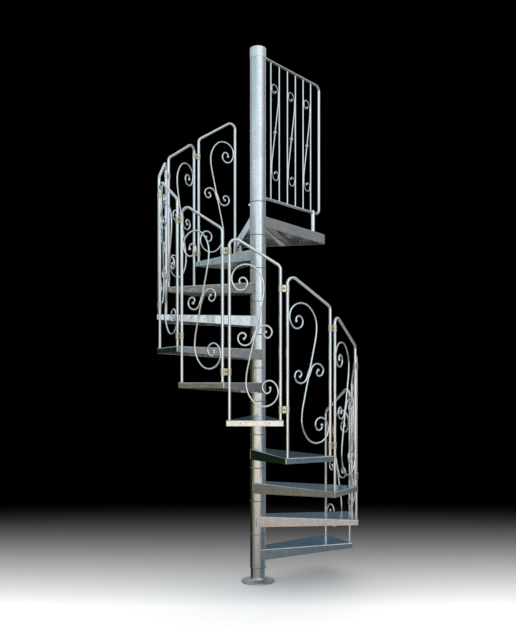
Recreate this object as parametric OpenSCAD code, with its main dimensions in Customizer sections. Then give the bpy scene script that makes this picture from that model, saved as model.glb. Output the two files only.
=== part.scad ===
// Spiral staircase of galvanised steel: wedge treads on a stacked central column,
// a flat wrought panel of scrolls on each tread and a guard along the landing's edge.
// The stair climbs clockwise as seen from above. The origin is on the column's axis at the
// underside of the base flange, +Z is up and the landing's outer edge faces +Y.

/* [Stair] */
// Diameter over the outer corners of the treads
stair_d = 1400; // [1200:10:1800]
// Height from one tread to the next
riser = 230; // [190:1:250]
// Angle from one tread to the next
step_angle = 30; // [24:0.5:32]
// Angle from the last tread's middle to the landing's middle
landing_turn = 42.3; // [41:0.1:50]
// Clear gap between the outer corners of neighbouring treads
tread_gap = 11.5; // [4:0.5:30]
// Thickness of the folded sheet
sheet = 3; // [2:0.5:6]
// Depth of a tread's side rim at the column
rim_hub = 75; // [50:1:110]
// Depth of a tread's rim at its outer edge
rim_edge = 35; // [25:1:60]
// Diameter of the holes in a tread's outer rim
rim_hole_d = 8; // [5:0.5:14]
// Distance between the two holes of a tread's outer rim
rim_hole_spacing = 176; // [80:1:240]

/* [Landing] */
// Distance from the column's axis to the landing's outer edge
landing_reach = 725; // [650:1:1000]
// Length of the landing's outer edge
landing_w = 712; // [600:1:780]
// Depth of the landing's rim
landing_rim = 75; // [50:1:110]
// Diameter of the fixing holes in the landing's outer rim
landing_hole_d = 13; // [9:0.5:18]
// Distance between the fixing holes
landing_hole_spacing = 280; // [160:1:420]
// Depth of the fixing holes below the landing's top
landing_hole_drop = 44; // [25:1:60]
// Diameter of the brace tube under the landing
brace_d = 30; // [20:1:40]
// Depth of the brace tube's axis below the landing's top
brace_drop = 46; // [30:1:60]
// Diameter of the socket at the brace's outer end
brace_socket_d = 38; // [34:1:50]
// Length of the socket at the brace's outer end
brace_socket_l = 120; // [40:1:200]

/* [Column] */
// Outer diameter of the inner column tube
pole_d = 101.6; // [80:0.1:140]
// Wall of the inner column tube
pole_wall = 4; // [2:0.5:8]
// Wall of the hub sleeves that slide over the column
sleeve_wall = 3; // [2:0.5:6]
// How far a hub sleeve stands above its tread
hub_above = 98; // [60:1:120]
// Thickness of the spacer rings between the sleeves
ring_t = 4; // [2:0.5:10]
// How far the spacer rings stand out from the sleeves
ring_lip = 3; // [1:0.5:8]
// Height of the column's top above the landing
newel_h = 1170; // [1000:1:1400]
// Height of the cap on the column
cap_h = 72; // [40:1:150]
// Wall of the cap
cap_wall = 1.5; // [1.5:0.5:6]
// Radius of the cap's upper edge
cap_edge_r = 3; // [2:0.5:20]

/* [Base] */
// Diameter of the base flange
flange_d = 230; // [200:1:320]
// Thickness of the base flange
flange_t = 10; // [6:1:20]
// Number of anchor holes in the flange
anchor_count = 3; // [3:1:8]
// Diameter of the anchor holes
anchor_hole_d = 14; // [10:0.5:20]
// Diameter of the circle through the anchor holes
anchor_pcd = 190; // [180:1:280]
// Radius of the flared collar at the column's foot
foot_flare = 24; // [8:1:26]

/* [Railing] */
// Diameter of the bent tube of a railing panel
leg_d = 18; // [14:0.5:26]
// Distance of a leg's axis from the tread's outer edge
leg_edge = 13; // [10:0.5:40]
// Distance of a leg's axis from the tread's side edge
leg_side = 18; // [12:0.5:30]
// Height of the uphill corner of a panel above its tread
rail_h = 1130; // [950:1:1250]
// Bend radius of the panel's corners
rail_bend = 40; // [25:1:70]
// Height of the middle of the scrolls above the tread
scroll_h = 515; // [480:1:560]
// Diameter of the scroll bars
scroll_d = 10; // [6:0.5:14]
// Diameter of the balls at the scroll ends
ball_d = 18; // [12:0.5:24]
// Tilt of the scroll's stem from upright
stem_tilt = 12.5; // [5:0.5:16]
// Straight half length of the scroll's stem
stem_l = 206; // [150:1:260]
// Radius where the stem bends into the volute
stem_bend = 400; // [250:1:500]
// Radius of the volute's long outer side
volute_r = 168; // [120:1:200]
// Radius of the curl beside the leg
curl_r = 85; // [60:1:100]
// Outer radius of the small side scrolls
side_scroll_r = 45; // [36:1:52]
// Distance along the stem from its middle to where a side scroll leaves it
side_scroll_at = 28; // [15:1:40]
// Height of a clip
clip_h = 42; // [25:1:60]
// Wall of a clip round a leg
clip_wall = 3; // [2:0.5:6]
// Thickness of a clip's web between two legs
clip_web = 9; // [5:0.5:16]
// Height of the lower clips above the upper of two treads
clip_low = 64; // [40:1:150]
// Height of the upper clips above the upper of two treads
clip_high = 800; // [500:1:805]

/* [Guard] */
// Height of the guard's top rail above the landing
guard_h = 1128; // [1030:1:1160]
// Height of the guard's bottom rail above the landing
guard_low = 145; // [80:1:240]
// Diameter of the guard's bent tube
guard_d = 18; // [16:0.5:26]
// Distance from the column's axis to the guard's outer stile
guard_reach = 743; // [725:1:800]
// Distance of the guard's leg from the landing's edge
guard_inset = 20; // [14:0.5:28]
// Diameter of the guard's upright bars
guard_bar_d = 10; // [8:0.5:16]
// Distance from the column's axis to the first bar
guard_bar_start = 144.5; // [110:0.5:160]
// Distance from one bar to the next
guard_pitch = 97.6; // [80:0.2:99]
// Diameter of the guard's scroll bars
guard_scroll_d = 8; // [6:0.5:10]
// Height of the middle of the guard's scrolls above the landing
guard_scroll_h = 636; // [620:1:660]
// Height from the middle of a guard scroll to the start of its hook
guard_scroll_rise = 281; // [200:1:320]
// Diameter of the bead in the middle of a guard scroll
bead_d = 24; // [14:0.5:28]
// Diameter of the guard's leg
guard_leg_d = 27; // [26:0.5:34]
// Distance from the column's axis to the guard's leg
guard_leg_at = 664; // [655:1:680]

/* [Fits] */
// Clearance between the column and its sleeves
slide_gap = 0.2; // [0.1:0.05:0.5]
// Clearance at welded seats and clips
weld_gap = 0.15; // [0.05:0.05:0.3]

/* [Hidden] */

$fn = 48;
bar_sides = 6;
tube_sides = 8;
arc_step = 30;

tread_count = 10;
landing_z = riser * (tread_count + 1);
landing_az = 90;

sleeve_bore_r = pole_d / 2 + slide_gap;
sleeve_r = sleeve_bore_r + sleeve_wall;
hub_below = riser - hub_above;
pole_top = landing_z + newel_h;
newel_z = landing_z + hub_above + ring_t;
cap_r = sleeve_r + weld_gap + cap_wall;

stair_r = stair_d / 2;
tread_chord = 2 * stair_r * sin(step_angle / 2);
tread_w = tread_chord - tread_gap;
tread_reach = sqrt(pow(stair_r, 2) - pow(tread_w / 2, 2));

// The side rims run along tangents from the outer corners and are let into the hub sleeve's seat
// by half their thickness.
hub_seat_r = sleeve_r + weld_gap;
rim_tangent_r = hub_seat_r + sheet / 2;
function flare(reach, width) =
    atan2(width / 2, reach) + acos(rim_tangent_r / norm([reach, width / 2])) - 90;
function edge_y(x, reach, width, inset) =
    width / 2 + (x - reach) * tan(flare(reach, width)) - inset / cos(flare(reach, width));

leg_x = tread_reach - leg_edge;
leg_y = edge_y(leg_x, tread_reach, tread_w, leg_side);
rail_drop = 2 * leg_y * riser / tread_chord;
rail_pitch = atan2(rail_drop, 2 * leg_y);
leg_turn = atan2(leg_y, leg_x);
leg_r = norm([leg_x, leg_y]);

// The guard runs out from the column's axis, so that its leg stands beside the landing's edge.
guard_az = landing_az - flare(landing_reach, landing_w)
    - asin((rim_tangent_r - guard_inset) / guard_leg_at);

steel = [0.70, 0.74, 0.77];
pale_steel = [0.80, 0.84, 0.85];
dull_steel = [0.58, 0.62, 0.65];

function tread_z(k) = riser * k;
function tread_az(k) = landing_az + landing_turn + step_angle * (tread_count - k);

// A path is a list of [point, heading, radius]. A stretch is [length, 0] for a straight run,
// or [radius, turn] for an arc that turns left for a positive turn.
function along(heading) = [cos(heading), sin(heading)];
function across(heading) = [-sin(heading), cos(heading)];
function arc_count(turn) = max(1, ceil(abs(turn) / arc_step));
function stretch(point, heading, r, size, turn) =
    turn == 0
        ? [[point + size * along(heading), heading, r]]
        : [for (i = [1:arc_count(turn)])
            let (
                now = heading + turn * i / arc_count(turn),
                middle = point + sign(turn) * size * across(heading)
            )
            [middle - sign(turn) * size * across(now), now, r]];
function trace(point, heading, r, stretches, i = 0) =
    i == len(stretches)
        ? []
        : let (
            part = stretch(point, heading, r, stretches[i][0], stretches[i][1]),
            end = part[len(part) - 1]
        )
        concat(part, trace(end[0], end[1], r, stretches, i + 1));
function backwards(path) = [for (i = [len(path) - 1:-1:0]) path[i]];
function turned(path) = [for (p = path) [-p[0], p[1], p[2]]];
function last(path) = path[len(path) - 1];
// Rings of a ball that closes the end of a path
function ball(end, d) =
    [for (t = [60:30:150]) [end[0] + d / 2 * (0.75 - cos(t)) * along(end[1]), end[1], d / 2 * sin(t)]];
function with_ball(path, d) = concat(path, ball(last(path), d));

// Round bar swept along a path in the plane x = 0, where the path's points are [y, z]
module bar(path, sides) {
    count = len(path);
    points = [for (p = path, j = [0:sides - 1])
        let (
            a = 360 * j / sides,
            q = p[0] + p[2] * cos(a) * across(p[1])
        )
        [p[2] * sin(a), q[0], q[1]]];
    skin = [for (i = [0:count - 2], j = [0:sides - 1])
        let (k = (j + 1) % sides)
        [i * sides + j, (i + 1) * sides + j, (i + 1) * sides + k, i * sides + k]];
    start_cap = [for (j = [0:sides - 1]) j];
    end_cap = [for (j = [sides - 1:-1:0]) (count - 1) * sides + j];
    polyhedron(points, concat(skin, [start_cap, end_cap]), convexity = 12);
}

// Upside-down sheet pan in the shape of a wedge, its top at z = 0, pointing along +X
module pan(reach, width, depth_hub, depth_edge) {
    turn = flare(reach, width);
    function rim_line(inset, end) = [
        for (side = [-1, 1]) (rim_tangent_r - inset) * [-sin(turn), side * cos(turn)],
        for (side = [1, -1]) [end, side * edge_y(end, reach, width, inset)]
    ];
    difference() {
        translate([0, 0, -depth_hub])
            linear_extrude(depth_hub)
                polygon(rim_line(0, reach));
        translate([0, 0, -2 * depth_hub])
            linear_extrude(2 * depth_hub - sheet)
                polygon(rim_line(sheet, reach - sheet));
        translate([0, 0, -2 * depth_hub])
            cylinder(h = 3 * depth_hub, r = hub_seat_r);
        if (depth_edge < depth_hub)
            rotate([90, 0, 0])
                linear_extrude(2 * width, center = true)
                    polygon([
                        [0, -depth_hub],
                        [2 * reach, depth_hub - 2 * depth_edge],
                        [2 * reach, -2 * depth_hub],
                        [0, -2 * depth_hub]
                    ]);
    }
}

module base_flange() color(dull_steel) {
    foot_r = pole_d / 2 + weld_gap;
    difference() {
        rotate_extrude(convexity = 4)
            difference() {
                union() {
                    square([flange_d / 2, flange_t]);
                    square([foot_r + foot_flare, flange_t + foot_flare]);
                }
                translate([foot_r + foot_flare, flange_t + foot_flare])
                    circle(foot_flare);
                translate([0, flange_t])
                    square([foot_r, 2 * foot_flare]);
            }
        for (i = [0:anchor_count - 1])
            rotate(landing_az + 360 / anchor_count * i)
                translate([anchor_pcd / 2, 0, -flange_t])
                    cylinder(h = 3 * flange_t, d = anchor_hole_d);
    }
}

module tube(h, outer_r, inner_r) {
    difference() {
        cylinder(h = h, r = outer_r);
        translate([0, 0, -h])
            cylinder(h = 3 * h, r = inner_r);
    }
}

module centre_pole() color(steel)
    translate([0, 0, flange_t])
        tube(pole_top - cap_wall - flange_t, pole_d / 2, pole_d / 2 - pole_wall);

module spacer_rings() color(dull_steel)
    for (k = [1:tread_count + 2])
        translate([0, 0, tread_z(k) - hub_below])
            tube(ring_t, sleeve_r + ring_lip, sleeve_bore_r);

module hub_sleeves() color(steel)
    for (k = [1:tread_count + 1])
        translate([0, 0, tread_z(k) - hub_below + ring_t])
            tube(riser - ring_t, sleeve_r, sleeve_bore_r);

module newel_post() color(steel)
    translate([0, 0, newel_z])
        tube(pole_top - cap_wall - newel_z, sleeve_r, sleeve_bore_r);

module newel_cap() color(pale_steel)
    translate([0, 0, pole_top - cap_h])
        rotate_extrude()
            difference() {
                union() {
                    square([cap_r, cap_h - cap_edge_r]);
                    square([cap_r - cap_edge_r, cap_h]);
                    translate([cap_r - cap_edge_r, cap_h - cap_edge_r])
                        circle(cap_edge_r);
                }
                translate([0, -cap_wall])
                    square([sleeve_r + weld_gap, cap_h]);
                translate([-2 * cap_r, -cap_h])
                    square([2 * cap_r, 3 * cap_h]);
            }

module on_tread(k)
    translate([0, 0, tread_z(k)])
        rotate(tread_az(k))
            children();

module on_landing()
    translate([0, 0, landing_z])
        rotate(landing_az)
            children();

module tread(k) color(steel)
    on_tread(k)
        difference() {
            pan(tread_reach, tread_w, rim_hub, rim_edge);
            for (side = [-1, 1])
                translate([tread_reach - 2 * sheet, side * rim_hole_spacing / 2, -rim_edge / 2])
                    rotate([0, 90, 0])
                        cylinder(h = 4 * sheet, d = rim_hole_d);
        }

module landing() color(steel)
    on_landing()
        difference() {
            pan(landing_reach, landing_w, landing_rim, landing_rim);
            for (side = [-1, 1])
                translate([landing_reach - 2 * sheet, side * landing_hole_spacing / 2, -landing_hole_drop])
                    rotate([0, 90, 0])
                        cylinder(h = 4 * sheet, d = landing_hole_d);
        }

module landing_brace() color(dull_steel)
    on_landing()
        difference() {
            translate([0, 0, -brace_drop])
                rotate([0, 90, 0]) {
                    cylinder(h = landing_reach - sheet, d = brace_d);
                    translate([0, 0, landing_reach - sheet - brace_socket_l])
                        cylinder(h = brace_socket_l, d = brace_socket_d);
                }
            translate([0, 0, -2 * landing_rim])
                cylinder(h = 3 * landing_rim, r = hub_seat_r);
        }

// The tie leg hangs where the lower leg of one more panel would stand.
tie_az = tread_az(tread_count) - step_angle + leg_turn;
tie_clip_z = landing_z - landing_rim - clip_h;
module landing_tie_leg() color(steel)
    rotate(tie_az)
        translate([leg_r, 0, tie_clip_z - clip_h])
            cylinder(h = landing_z - sheet - tie_clip_z + clip_h, d = leg_d);

// Bent tube of a panel: up the downhill leg, along the sloping rail and down the uphill leg
function frame_path() =
    let (
        low_turn = 90 - rail_pitch,
        high_turn = 90 + rail_pitch,
        low_cut = rail_bend * tan(low_turn / 2),
        high_cut = rail_bend * tan(high_turn / 2),
        start = [[leg_y, 0], 90, leg_d / 2]
    )
    concat([start], trace(start[0], start[1], start[2], [
        [rail_h - rail_drop - low_cut, 0],
        [rail_bend, low_turn],
        [2 * leg_y / cos(rail_pitch) - low_cut - high_cut, 0],
        [rail_bend, high_turn],
        [rail_h - high_cut, 0]
    ]));

// Half of the main scroll, from its middle up the stem and round the volute. The arc over the
// top takes up what is left between the long side and the curl that touches the leg.
function scroll_half() =
    let (
        lean = stem_l * sin(stem_tilt) + stem_bend * (1 - cos(stem_tilt)),
        reach = leg_y - (leg_d + scroll_d) / 2 - weld_gap,
        top_r = (reach + lean - (1 - cos(45)) * (volute_r + curl_r)) / (2 * sin(45))
    )
    with_ball(trace([0, 0], 90 - stem_tilt, scroll_d / 2, [
        [stem_l, 0],
        [stem_bend, stem_tilt],
        [volute_r, 45],
        [top_r, 90],
        [curl_r, 45],
        [curl_r, 45],
        [0.48 * curl_r, 90],
        [0.49 * curl_r, 90],
        [0.24 * curl_r, 115]
    ]), ball_d);

// Small scroll that leaves the stem's side near its middle
function side_scroll() =
    let (
        heading = 90 - stem_tilt,
        foot = (scroll_d + weld_gap) * across(heading) - side_scroll_at * along(heading),
        start = [foot, heading - 180, scroll_d / 2]
    )
    concat([start], with_ball(trace(start[0], start[1], start[2], [
        [side_scroll_r, stem_tilt - 135],
        [0.88 * side_scroll_r, -90],
        [0.50 * side_scroll_r, -90],
        [0.38 * side_scroll_r, -80]
    ]), ball_d));

module rail_panel(k) color(pale_steel)
    on_tread(k)
        translate([leg_x, 0, 0]) {
            bar(frame_path(), tube_sides);
            translate([0, 0, scroll_h]) {
                bar(concat(turned(backwards(scroll_half())), scroll_half()), bar_sides);
                for (half = [0, 180])
                    rotate([half, 0, 0])
                        bar(side_scroll(), bar_sides);
            }
        }

// Two collars and a web that clamp the neighbouring legs of two panels
module clip(z) {
    leg_gap = 2 * leg_r * sin(step_angle / 2 - leg_turn);
    bore_r = leg_d / 2 + weld_gap;
    translate([leg_r * cos(step_angle / 2 - leg_turn), 0, z - clip_h / 2])
        linear_extrude(clip_h)
            difference() {
                union() {
                    square([clip_web, leg_gap], center = true);
                    for (side = [-1, 1])
                        translate([0, side * leg_gap / 2])
                            circle(bore_r + clip_wall);
                }
                for (side = [-1, 1])
                    translate([0, side * leg_gap / 2])
                        circle(bore_r);
            }
}

module between_treads(k)
    rotate(tread_az(k) - step_angle / 2)
        children();

module upper_clips() color(dull_steel)
    for (k = [1:tread_count - 1])
        between_treads(k)
            clip(tread_z(k + 1) + clip_high);

module lower_clips() color(dull_steel) {
    for (k = [1:tread_count - 1])
        between_treads(k)
            clip(tread_z(k + 1) + clip_low);
    between_treads(tread_count)
        clip(tie_clip_z);
}

module on_guard()
    translate([0, 0, landing_z])
        rotate(guard_az - 90)
            children();

// Room for the newel post and for the cap, which the top rail meets
module newel_cut() {
    translate([0, 0, -guard_h])
        cylinder(h = 3 * guard_h, r = hub_seat_r);
    translate([0, 0, newel_h - cap_h - weld_gap])
        cylinder(h = guard_h, r = cap_r + weld_gap);
}

function guard_path() =
    let (start = [[0, guard_h], 0, guard_d / 2])
    concat([start], trace(start[0], start[1], start[2], [
        [guard_reach - rail_bend, 0],
        [rail_bend, -90],
        [guard_h - guard_low - 2 * rail_bend, 0],
        [rail_bend, -90],
        [guard_reach - rail_bend, 0]
    ]));

guard_bars = 6;
hook_turn = 35;
function guard_bar_y(i) = guard_bar_start + guard_pitch * i;

module guard_panel() color(pale_steel)
    on_guard() {
        difference() {
            bar(guard_path(), tube_sides);
            newel_cut();
        }
        for (i = [0:guard_bars - 1])
            translate([0, guard_bar_y(i), guard_low + guard_d / 2 + weld_gap])
                cylinder(h = guard_h - guard_low - guard_d - 2 * weld_gap, d = guard_bar_d);
    }

// Half of a guard scroll, from the bead up to the right bar, along it and over in a hook whose
// curl touches the left bar
function guard_scroll_half() =
    let (
        reach = (guard_pitch - guard_bar_d - guard_scroll_d) / 2 - weld_gap,
        tilt = 1.08 * atan2(reach, 0.9 * guard_scroll_rise),
        run = (reach - stem_bend * (1 - cos(tilt))) / sin(tilt),
        level = run * cos(tilt) + stem_bend * sin(tilt),
        hook_r = reach * (2 - 1.5 * (1 - cos(hook_turn)) - 0.3 * sin(hook_turn)) / (1 + cos(hook_turn)),
        turnings = [[0, 0.5], [0.36, 0.38], [0.55, 0.2], [0.8, 0.34], [1, 0.34], [1.15, 0.17]]
    )
    with_ball(concat(
        [for (t = turnings) [bead_d * t[0] * along(90 - tilt), 90 - tilt, bead_d * t[1]]],
        trace([0, 0], 90 - tilt, guard_scroll_d / 2, [
            [run, 0],
            [stem_bend, tilt],
            [max(1, guard_scroll_rise - level), 0],
            [1.5 * reach, hook_turn],
            [0.3 * reach, 0],
            [hook_r, 90 - hook_turn],
            [hook_r, 90],
            [0.7 * reach, 90],
            [0.43 * reach, 60]
        ])
    ), 0.85 * ball_d);

module guard_scrolls() color(pale_steel)
    on_guard()
        for (i = [0:2:guard_bars - 2])
            translate([0, guard_bar_y(i) + guard_pitch / 2, guard_scroll_h]) {
                half = guard_scroll_half();
                other = [for (p = half) if (norm(p[0]) > 0) p];
                bar(concat(turned(backwards(other)), half), bar_sides);
            }

module guard_leg() color(pale_steel)
    on_guard()
        translate([0, guard_leg_at, 0])
            difference() {
                union() {
                    cylinder(h = guard_low + guard_leg_d / 4, d = guard_leg_d);
                    translate([0, 0, guard_low + guard_leg_d / 4])
                        sphere(d = guard_leg_d);
                }
                translate([0, guard_leg_d, guard_low])
                    rotate([90, 0, 0])
                        cylinder(h = 2 * guard_leg_d, r = guard_d / 2 + weld_gap);
            }

base_flange();
centre_pole();
spacer_rings();
hub_sleeves();
newel_post();
newel_cap();
tread(1);  // tread_01
tread(2);  // tread_02
tread(3);  // tread_03
tread(4);  // tread_04
tread(5);  // tread_05
tread(6);  // tread_06
tread(7);  // tread_07
tread(8);  // tread_08
tread(9);  // tread_09
tread(10);  // tread_10
landing();
landing_brace();
landing_tie_leg();
rail_panel(1);  // rail_panel_01
rail_panel(2);  // rail_panel_02
rail_panel(3);  // rail_panel_03
rail_panel(4);  // rail_panel_04
rail_panel(5);  // rail_panel_05
rail_panel(6);  // rail_panel_06
rail_panel(7);  // rail_panel_07
rail_panel(8);  // rail_panel_08
rail_panel(9);  // rail_panel_09
rail_panel(10);  // rail_panel_10
upper_clips();
lower_clips();
guard_panel();
guard_scrolls();
guard_leg();
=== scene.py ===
# %% [markdown]
# # A galvanised spiral staircase
#
# The real stair is a kit: folded sheet treads on sleeves that are stacked over one pole, and a
# railing of bent tube panels with wrought scrolls. This lesson dresses them: every visible piece
# is worked out again as a smooth surface with numpy, in the same place, and gets a hot-dip zinc
# finish made of nodes.

# %% Load the frame
import math

import bmesh
import bpy
import numpy as np
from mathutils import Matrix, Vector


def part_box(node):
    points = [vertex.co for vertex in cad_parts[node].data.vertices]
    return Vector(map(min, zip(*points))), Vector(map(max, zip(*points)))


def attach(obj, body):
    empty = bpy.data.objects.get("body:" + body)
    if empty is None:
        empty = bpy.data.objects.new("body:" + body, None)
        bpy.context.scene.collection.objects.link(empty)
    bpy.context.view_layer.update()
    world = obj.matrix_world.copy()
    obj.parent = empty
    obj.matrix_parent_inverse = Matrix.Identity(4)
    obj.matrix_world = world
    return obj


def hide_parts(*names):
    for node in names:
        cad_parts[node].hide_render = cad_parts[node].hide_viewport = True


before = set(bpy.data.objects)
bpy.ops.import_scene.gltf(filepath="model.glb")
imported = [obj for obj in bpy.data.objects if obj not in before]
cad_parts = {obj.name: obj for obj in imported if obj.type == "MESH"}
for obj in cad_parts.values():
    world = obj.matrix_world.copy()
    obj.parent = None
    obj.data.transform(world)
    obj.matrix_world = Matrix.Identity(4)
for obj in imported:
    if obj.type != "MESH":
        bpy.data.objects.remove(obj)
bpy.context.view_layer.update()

# %% [markdown]
# ## Sizes
#
# Whatever the frame can tell is read from the boxes of its nodes, in metres. The few values that a
# box can't give, such as the radius of a bend, are repeated here by name.

# %% Sizes of the column and the steps
def high(name):
    """Highest corner of a node's box."""
    return np.array(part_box(name)[1])


def low(name):
    """Lowest corner of a node's box."""
    return np.array(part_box(name)[0])


TREADS = sorted(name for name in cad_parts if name.startswith("tread_"))
PANELS = sorted(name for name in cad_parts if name.startswith("rail_panel_"))
RISER = high("tread_01")[2]
STEP_ANGLE = 30.0
LANDING_AZ = 90.0
LANDING_TURN = 42.3
LANDING_Z = high("landing")[2]
POLE_R = high("centre_pole")[0]
SLEEVE_R = high("hub_sleeves")[0]
RING_R = high("spacer_rings")[0]
RING_T = 0.004
HUB_ABOVE = 0.098
HUB_BELOW = RISER - HUB_ABOVE
WELD_GAP = 0.00015


def step_z(k):
    """Height of the top of step k, where step 11 is the landing."""
    return RISER * k


def step_az(k):
    """Azimuth of the middle of tread k, in degrees; the stair turns by one step angle a rise."""
    return LANDING_AZ + LANDING_TURN + STEP_ANGLE * (len(TREADS) - k)


print("riser", round(RISER, 4), "landing at", round(LANDING_Z, 4), "column radius", round(SLEEVE_R, 4))

# %% Sizes of the folded pans
STAIR_R = 0.700
TREAD_GAP = 0.0115
SHEET = 0.003
FOLD_R = 0.0045
CORNER_R = 0.004
RIM_HUB = 0.075
RIM_EDGE = 0.035
RIM_TANGENT_R = SLEEVE_R + WELD_GAP + SHEET / 2
TREAD_CHORD = 2 * STAIR_R * math.sin(math.radians(STEP_ANGLE / 2))
TREAD_W = TREAD_CHORD - TREAD_GAP
TREAD_REACH = math.sqrt(STAIR_R**2 - (TREAD_W / 2) ** 2)
LANDING_REACH = high("landing")[1]
LANDING_W = 2 * high("landing")[0]
LANDING_RIM = LANDING_Z - low("landing")[2]


def flare(reach, width):
    """Angle between a pan's middle line and its side rim, which is a tangent to the hub."""
    corner = math.atan2(width / 2, reach)
    return corner + math.acos(RIM_TANGENT_R / math.hypot(reach, width / 2)) - math.pi / 2


def edge_y(x, reach, width, inset):
    """Half width of a pan at x, measured to a line that lies inset inside its side rim."""
    turn = flare(reach, width)
    return width / 2 + (x - reach) * math.tan(turn) - inset / math.cos(turn)


tread_flare = math.degrees(flare(TREAD_REACH, TREAD_W))
print("tread", round(TREAD_REACH, 4), "by", round(TREAD_W, 4), "flare", round(tread_flare, 2))

# %% Sizes of the railing
LEG_R = 0.009
RAIL_BEND = 0.040
RAIL_H = 1.130
SCROLL_R = 0.005
SCROLL_H = 0.515
BALL_R = 0.009
STEM_TILT = 12.5
STEM_L = 0.206
STEM_BEND = 0.400
VOLUTE_R = 0.168
CURL_R = 0.085
SIDE_SCROLL_R = 0.045
SIDE_SCROLL_AT = 0.028
LEAD_L = 0.075
LEG_EDGE = 0.013
LEG_SIDE = 0.018
LEG_X = TREAD_REACH - LEG_EDGE
LEG_Y = edge_y(LEG_X, TREAD_REACH, TREAD_W, LEG_SIDE)
LEG_TURN = math.atan2(LEG_Y, LEG_X)
LEG_REACH = math.hypot(LEG_X, LEG_Y)
RAIL_DROP = 2 * LEG_Y * RISER / TREAD_CHORD
RAIL_PITCH = math.degrees(math.atan2(RAIL_DROP, 2 * LEG_Y))
print("legs", round(2 * LEG_Y, 4), "apart, rail pitch", round(RAIL_PITCH, 2), "degrees")

# %% [markdown]
# ## Surfaces from arrays
#
# Every piece below is a grid of points: ring after ring along a path, or row after row across a
# sheet. A grid becomes a mesh when neighbouring rings are joined by quads and the two ends are
# closed. Working with whole arrays keeps this short and quick, and a signed volume tells whether
# the faces look outwards, so no piece can end up inside out.

# %% From grids to meshes
def signed_volume(points, faces):
    """Sum over a fan of triangles of a · (b × c) / 6, which is positive when faces look outwards."""
    total = 0.0
    for size in {len(face) for face in faces}:
        block = np.array([face for face in faces if len(face) == size])
        for i in range(1, size - 1):
            a, b, c = points[block[:, 0]], points[block[:, i]], points[block[:, i + 1]]
            total += np.einsum("ij,ij->", a, np.cross(b, c)) / 6
    return total


def skin(rings, closed=False):
    """Shell of a grid (ring, side, xyz): quads between rings, and a face over each open end."""
    count, sides = rings.shape[:2]
    index = np.arange(count * sides).reshape(count, sides)
    if closed:
        index = np.vstack([index, index[:1]])
    here, there = index[:-1], index[1:]
    quads = np.stack([here, np.roll(here, -1, 1), np.roll(there, -1, 1), there], axis=-1)
    faces = quads.reshape(-1, 4).tolist()
    if not closed:
        faces += [index[0][::-1].tolist(), index[-1].tolist()]
    points = rings.reshape(-1, 3)
    if signed_volume(points - points.mean(0), faces) < 0:
        faces = [face[::-1] for face in faces]
    return points, faces


def joined(shells):
    """One list of points and one of faces from many shells, with the numbering carried on."""
    points = np.vstack([shell[0] for shell in shells])
    starts = np.cumsum([0] + [len(shell[0]) for shell in shells[:-1]])
    faces = [[i + start for i in face] for (_, part), start in zip(shells, starts) for face in part]
    return points, faces


# %% From meshes to pieces of the object
SMOOTH_BELOW = math.radians(38)
piece_triangles = {}


def piece(name, points, faces, material, slot, replaced=()):
    """An object at the origin that rides on the frame and may stand for CAD nodes; slot is not used."""
    mesh = bpy.data.meshes.new(name)
    mesh.from_pydata(points.tolist(), [], faces)
    mesh.validate()
    mesh.shade_smooth()
    mesh.set_sharp_from_angle(angle=SMOOTH_BELOW)
    mesh.materials.append(material)
    made = bpy.data.objects.new(name, mesh)
    bpy.context.scene.collection.objects.link(made)
    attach(made, "root")
    for node_name in replaced:
        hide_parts(node_name)
    piece_triangles[name] = sum(len(face) - 2 for face in faces)
    print(f"{name}: {len(points)} points, {piece_triangles[name]} triangles")
    return made


def placed(points, azimuth, reach=0.0, z=0.0):
    """Points moved out by reach along x, turned about the column by azimuth degrees and lifted by z."""
    a = math.radians(azimuth)
    turn = np.array([[math.cos(a), math.sin(a), 0], [-math.sin(a), math.cos(a), 0], [0, 0, 1]])
    return (points + [reach, 0, 0]) @ turn + [0, 0, z]


# %% [markdown]
# ## Paths, bars and turned parts
#
# Bent tube is a path of straight runs and arcs with a circle carried along it. A smith's scroll is
# the same thing with arcs that grow tighter, and a ball where the bar ends. Parts from a lathe are
# a profile carried round an axis. Three functions are enough for the whole railing and the column.

# %% Paths and bars
ARC_STEP = 5.0
BALL_ROWS = 12
BALL_FROM, BALL_TO = 35, 174
BALL_SEAT = 0.75


def across(heading):
    """Unit vectors to the left of headings in degrees."""
    h = np.radians(heading)
    return np.stack([-np.sin(h), np.cos(h)], axis=-1)


def along(heading):
    """Unit vectors in the direction of headings in degrees."""
    return across(np.asarray(heading) - 90.0)


def trace(start, heading, stretches):
    """Path of points and headings. A stretch (length, 0) runs straight on; (radius, turn) is an arc
    whose points are centre - side · radius · left(heading), while the heading turns evenly."""
    points, headings = [np.array([start], float)], [np.array([heading], float)]
    for size, turn in stretches:
        end, now = points[-1][-1], headings[-1][-1]
        if turn == 0:
            points.append(end + size * along(now)[None])
            headings.append(np.array([now]))
            continue
        steps = max(2, math.ceil(abs(turn) / ARC_STEP))
        turned = now + turn * np.arange(1, steps + 1) / steps
        side = math.copysign(1.0, turn)
        points.append(end + side * size * (across(now) - across(turned)))
        headings.append(turned)
    return np.vstack(points), np.concatenate(headings)


def balled(points, headings, radius, ball_r):
    """Path, headings and radii of a bar whose end carries a ball: radius = ball · sin t, for t from
    where the bar enters the ball to its far pole."""
    t = np.radians(np.linspace(BALL_FROM, BALL_TO, BALL_ROWS))
    rings = points[-1] + ball_r * (BALL_SEAT - np.cos(t))[:, None] * along(headings[-1])
    radii = np.concatenate([np.full(len(points), radius), ball_r * np.sin(t)])
    headings = np.concatenate([headings, np.full(BALL_ROWS, headings[-1])])
    return np.vstack([points, rings]), headings, radii


def mirrored_path(points, headings, radii):
    """Path that runs through the origin to its own half turn: reversed and negated, then itself."""
    return (np.vstack([-points[::-1], points[1:]]),
            np.concatenate([headings[::-1], headings[1:]]),
            np.concatenate([radii[::-1], radii[1:]]))


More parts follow.
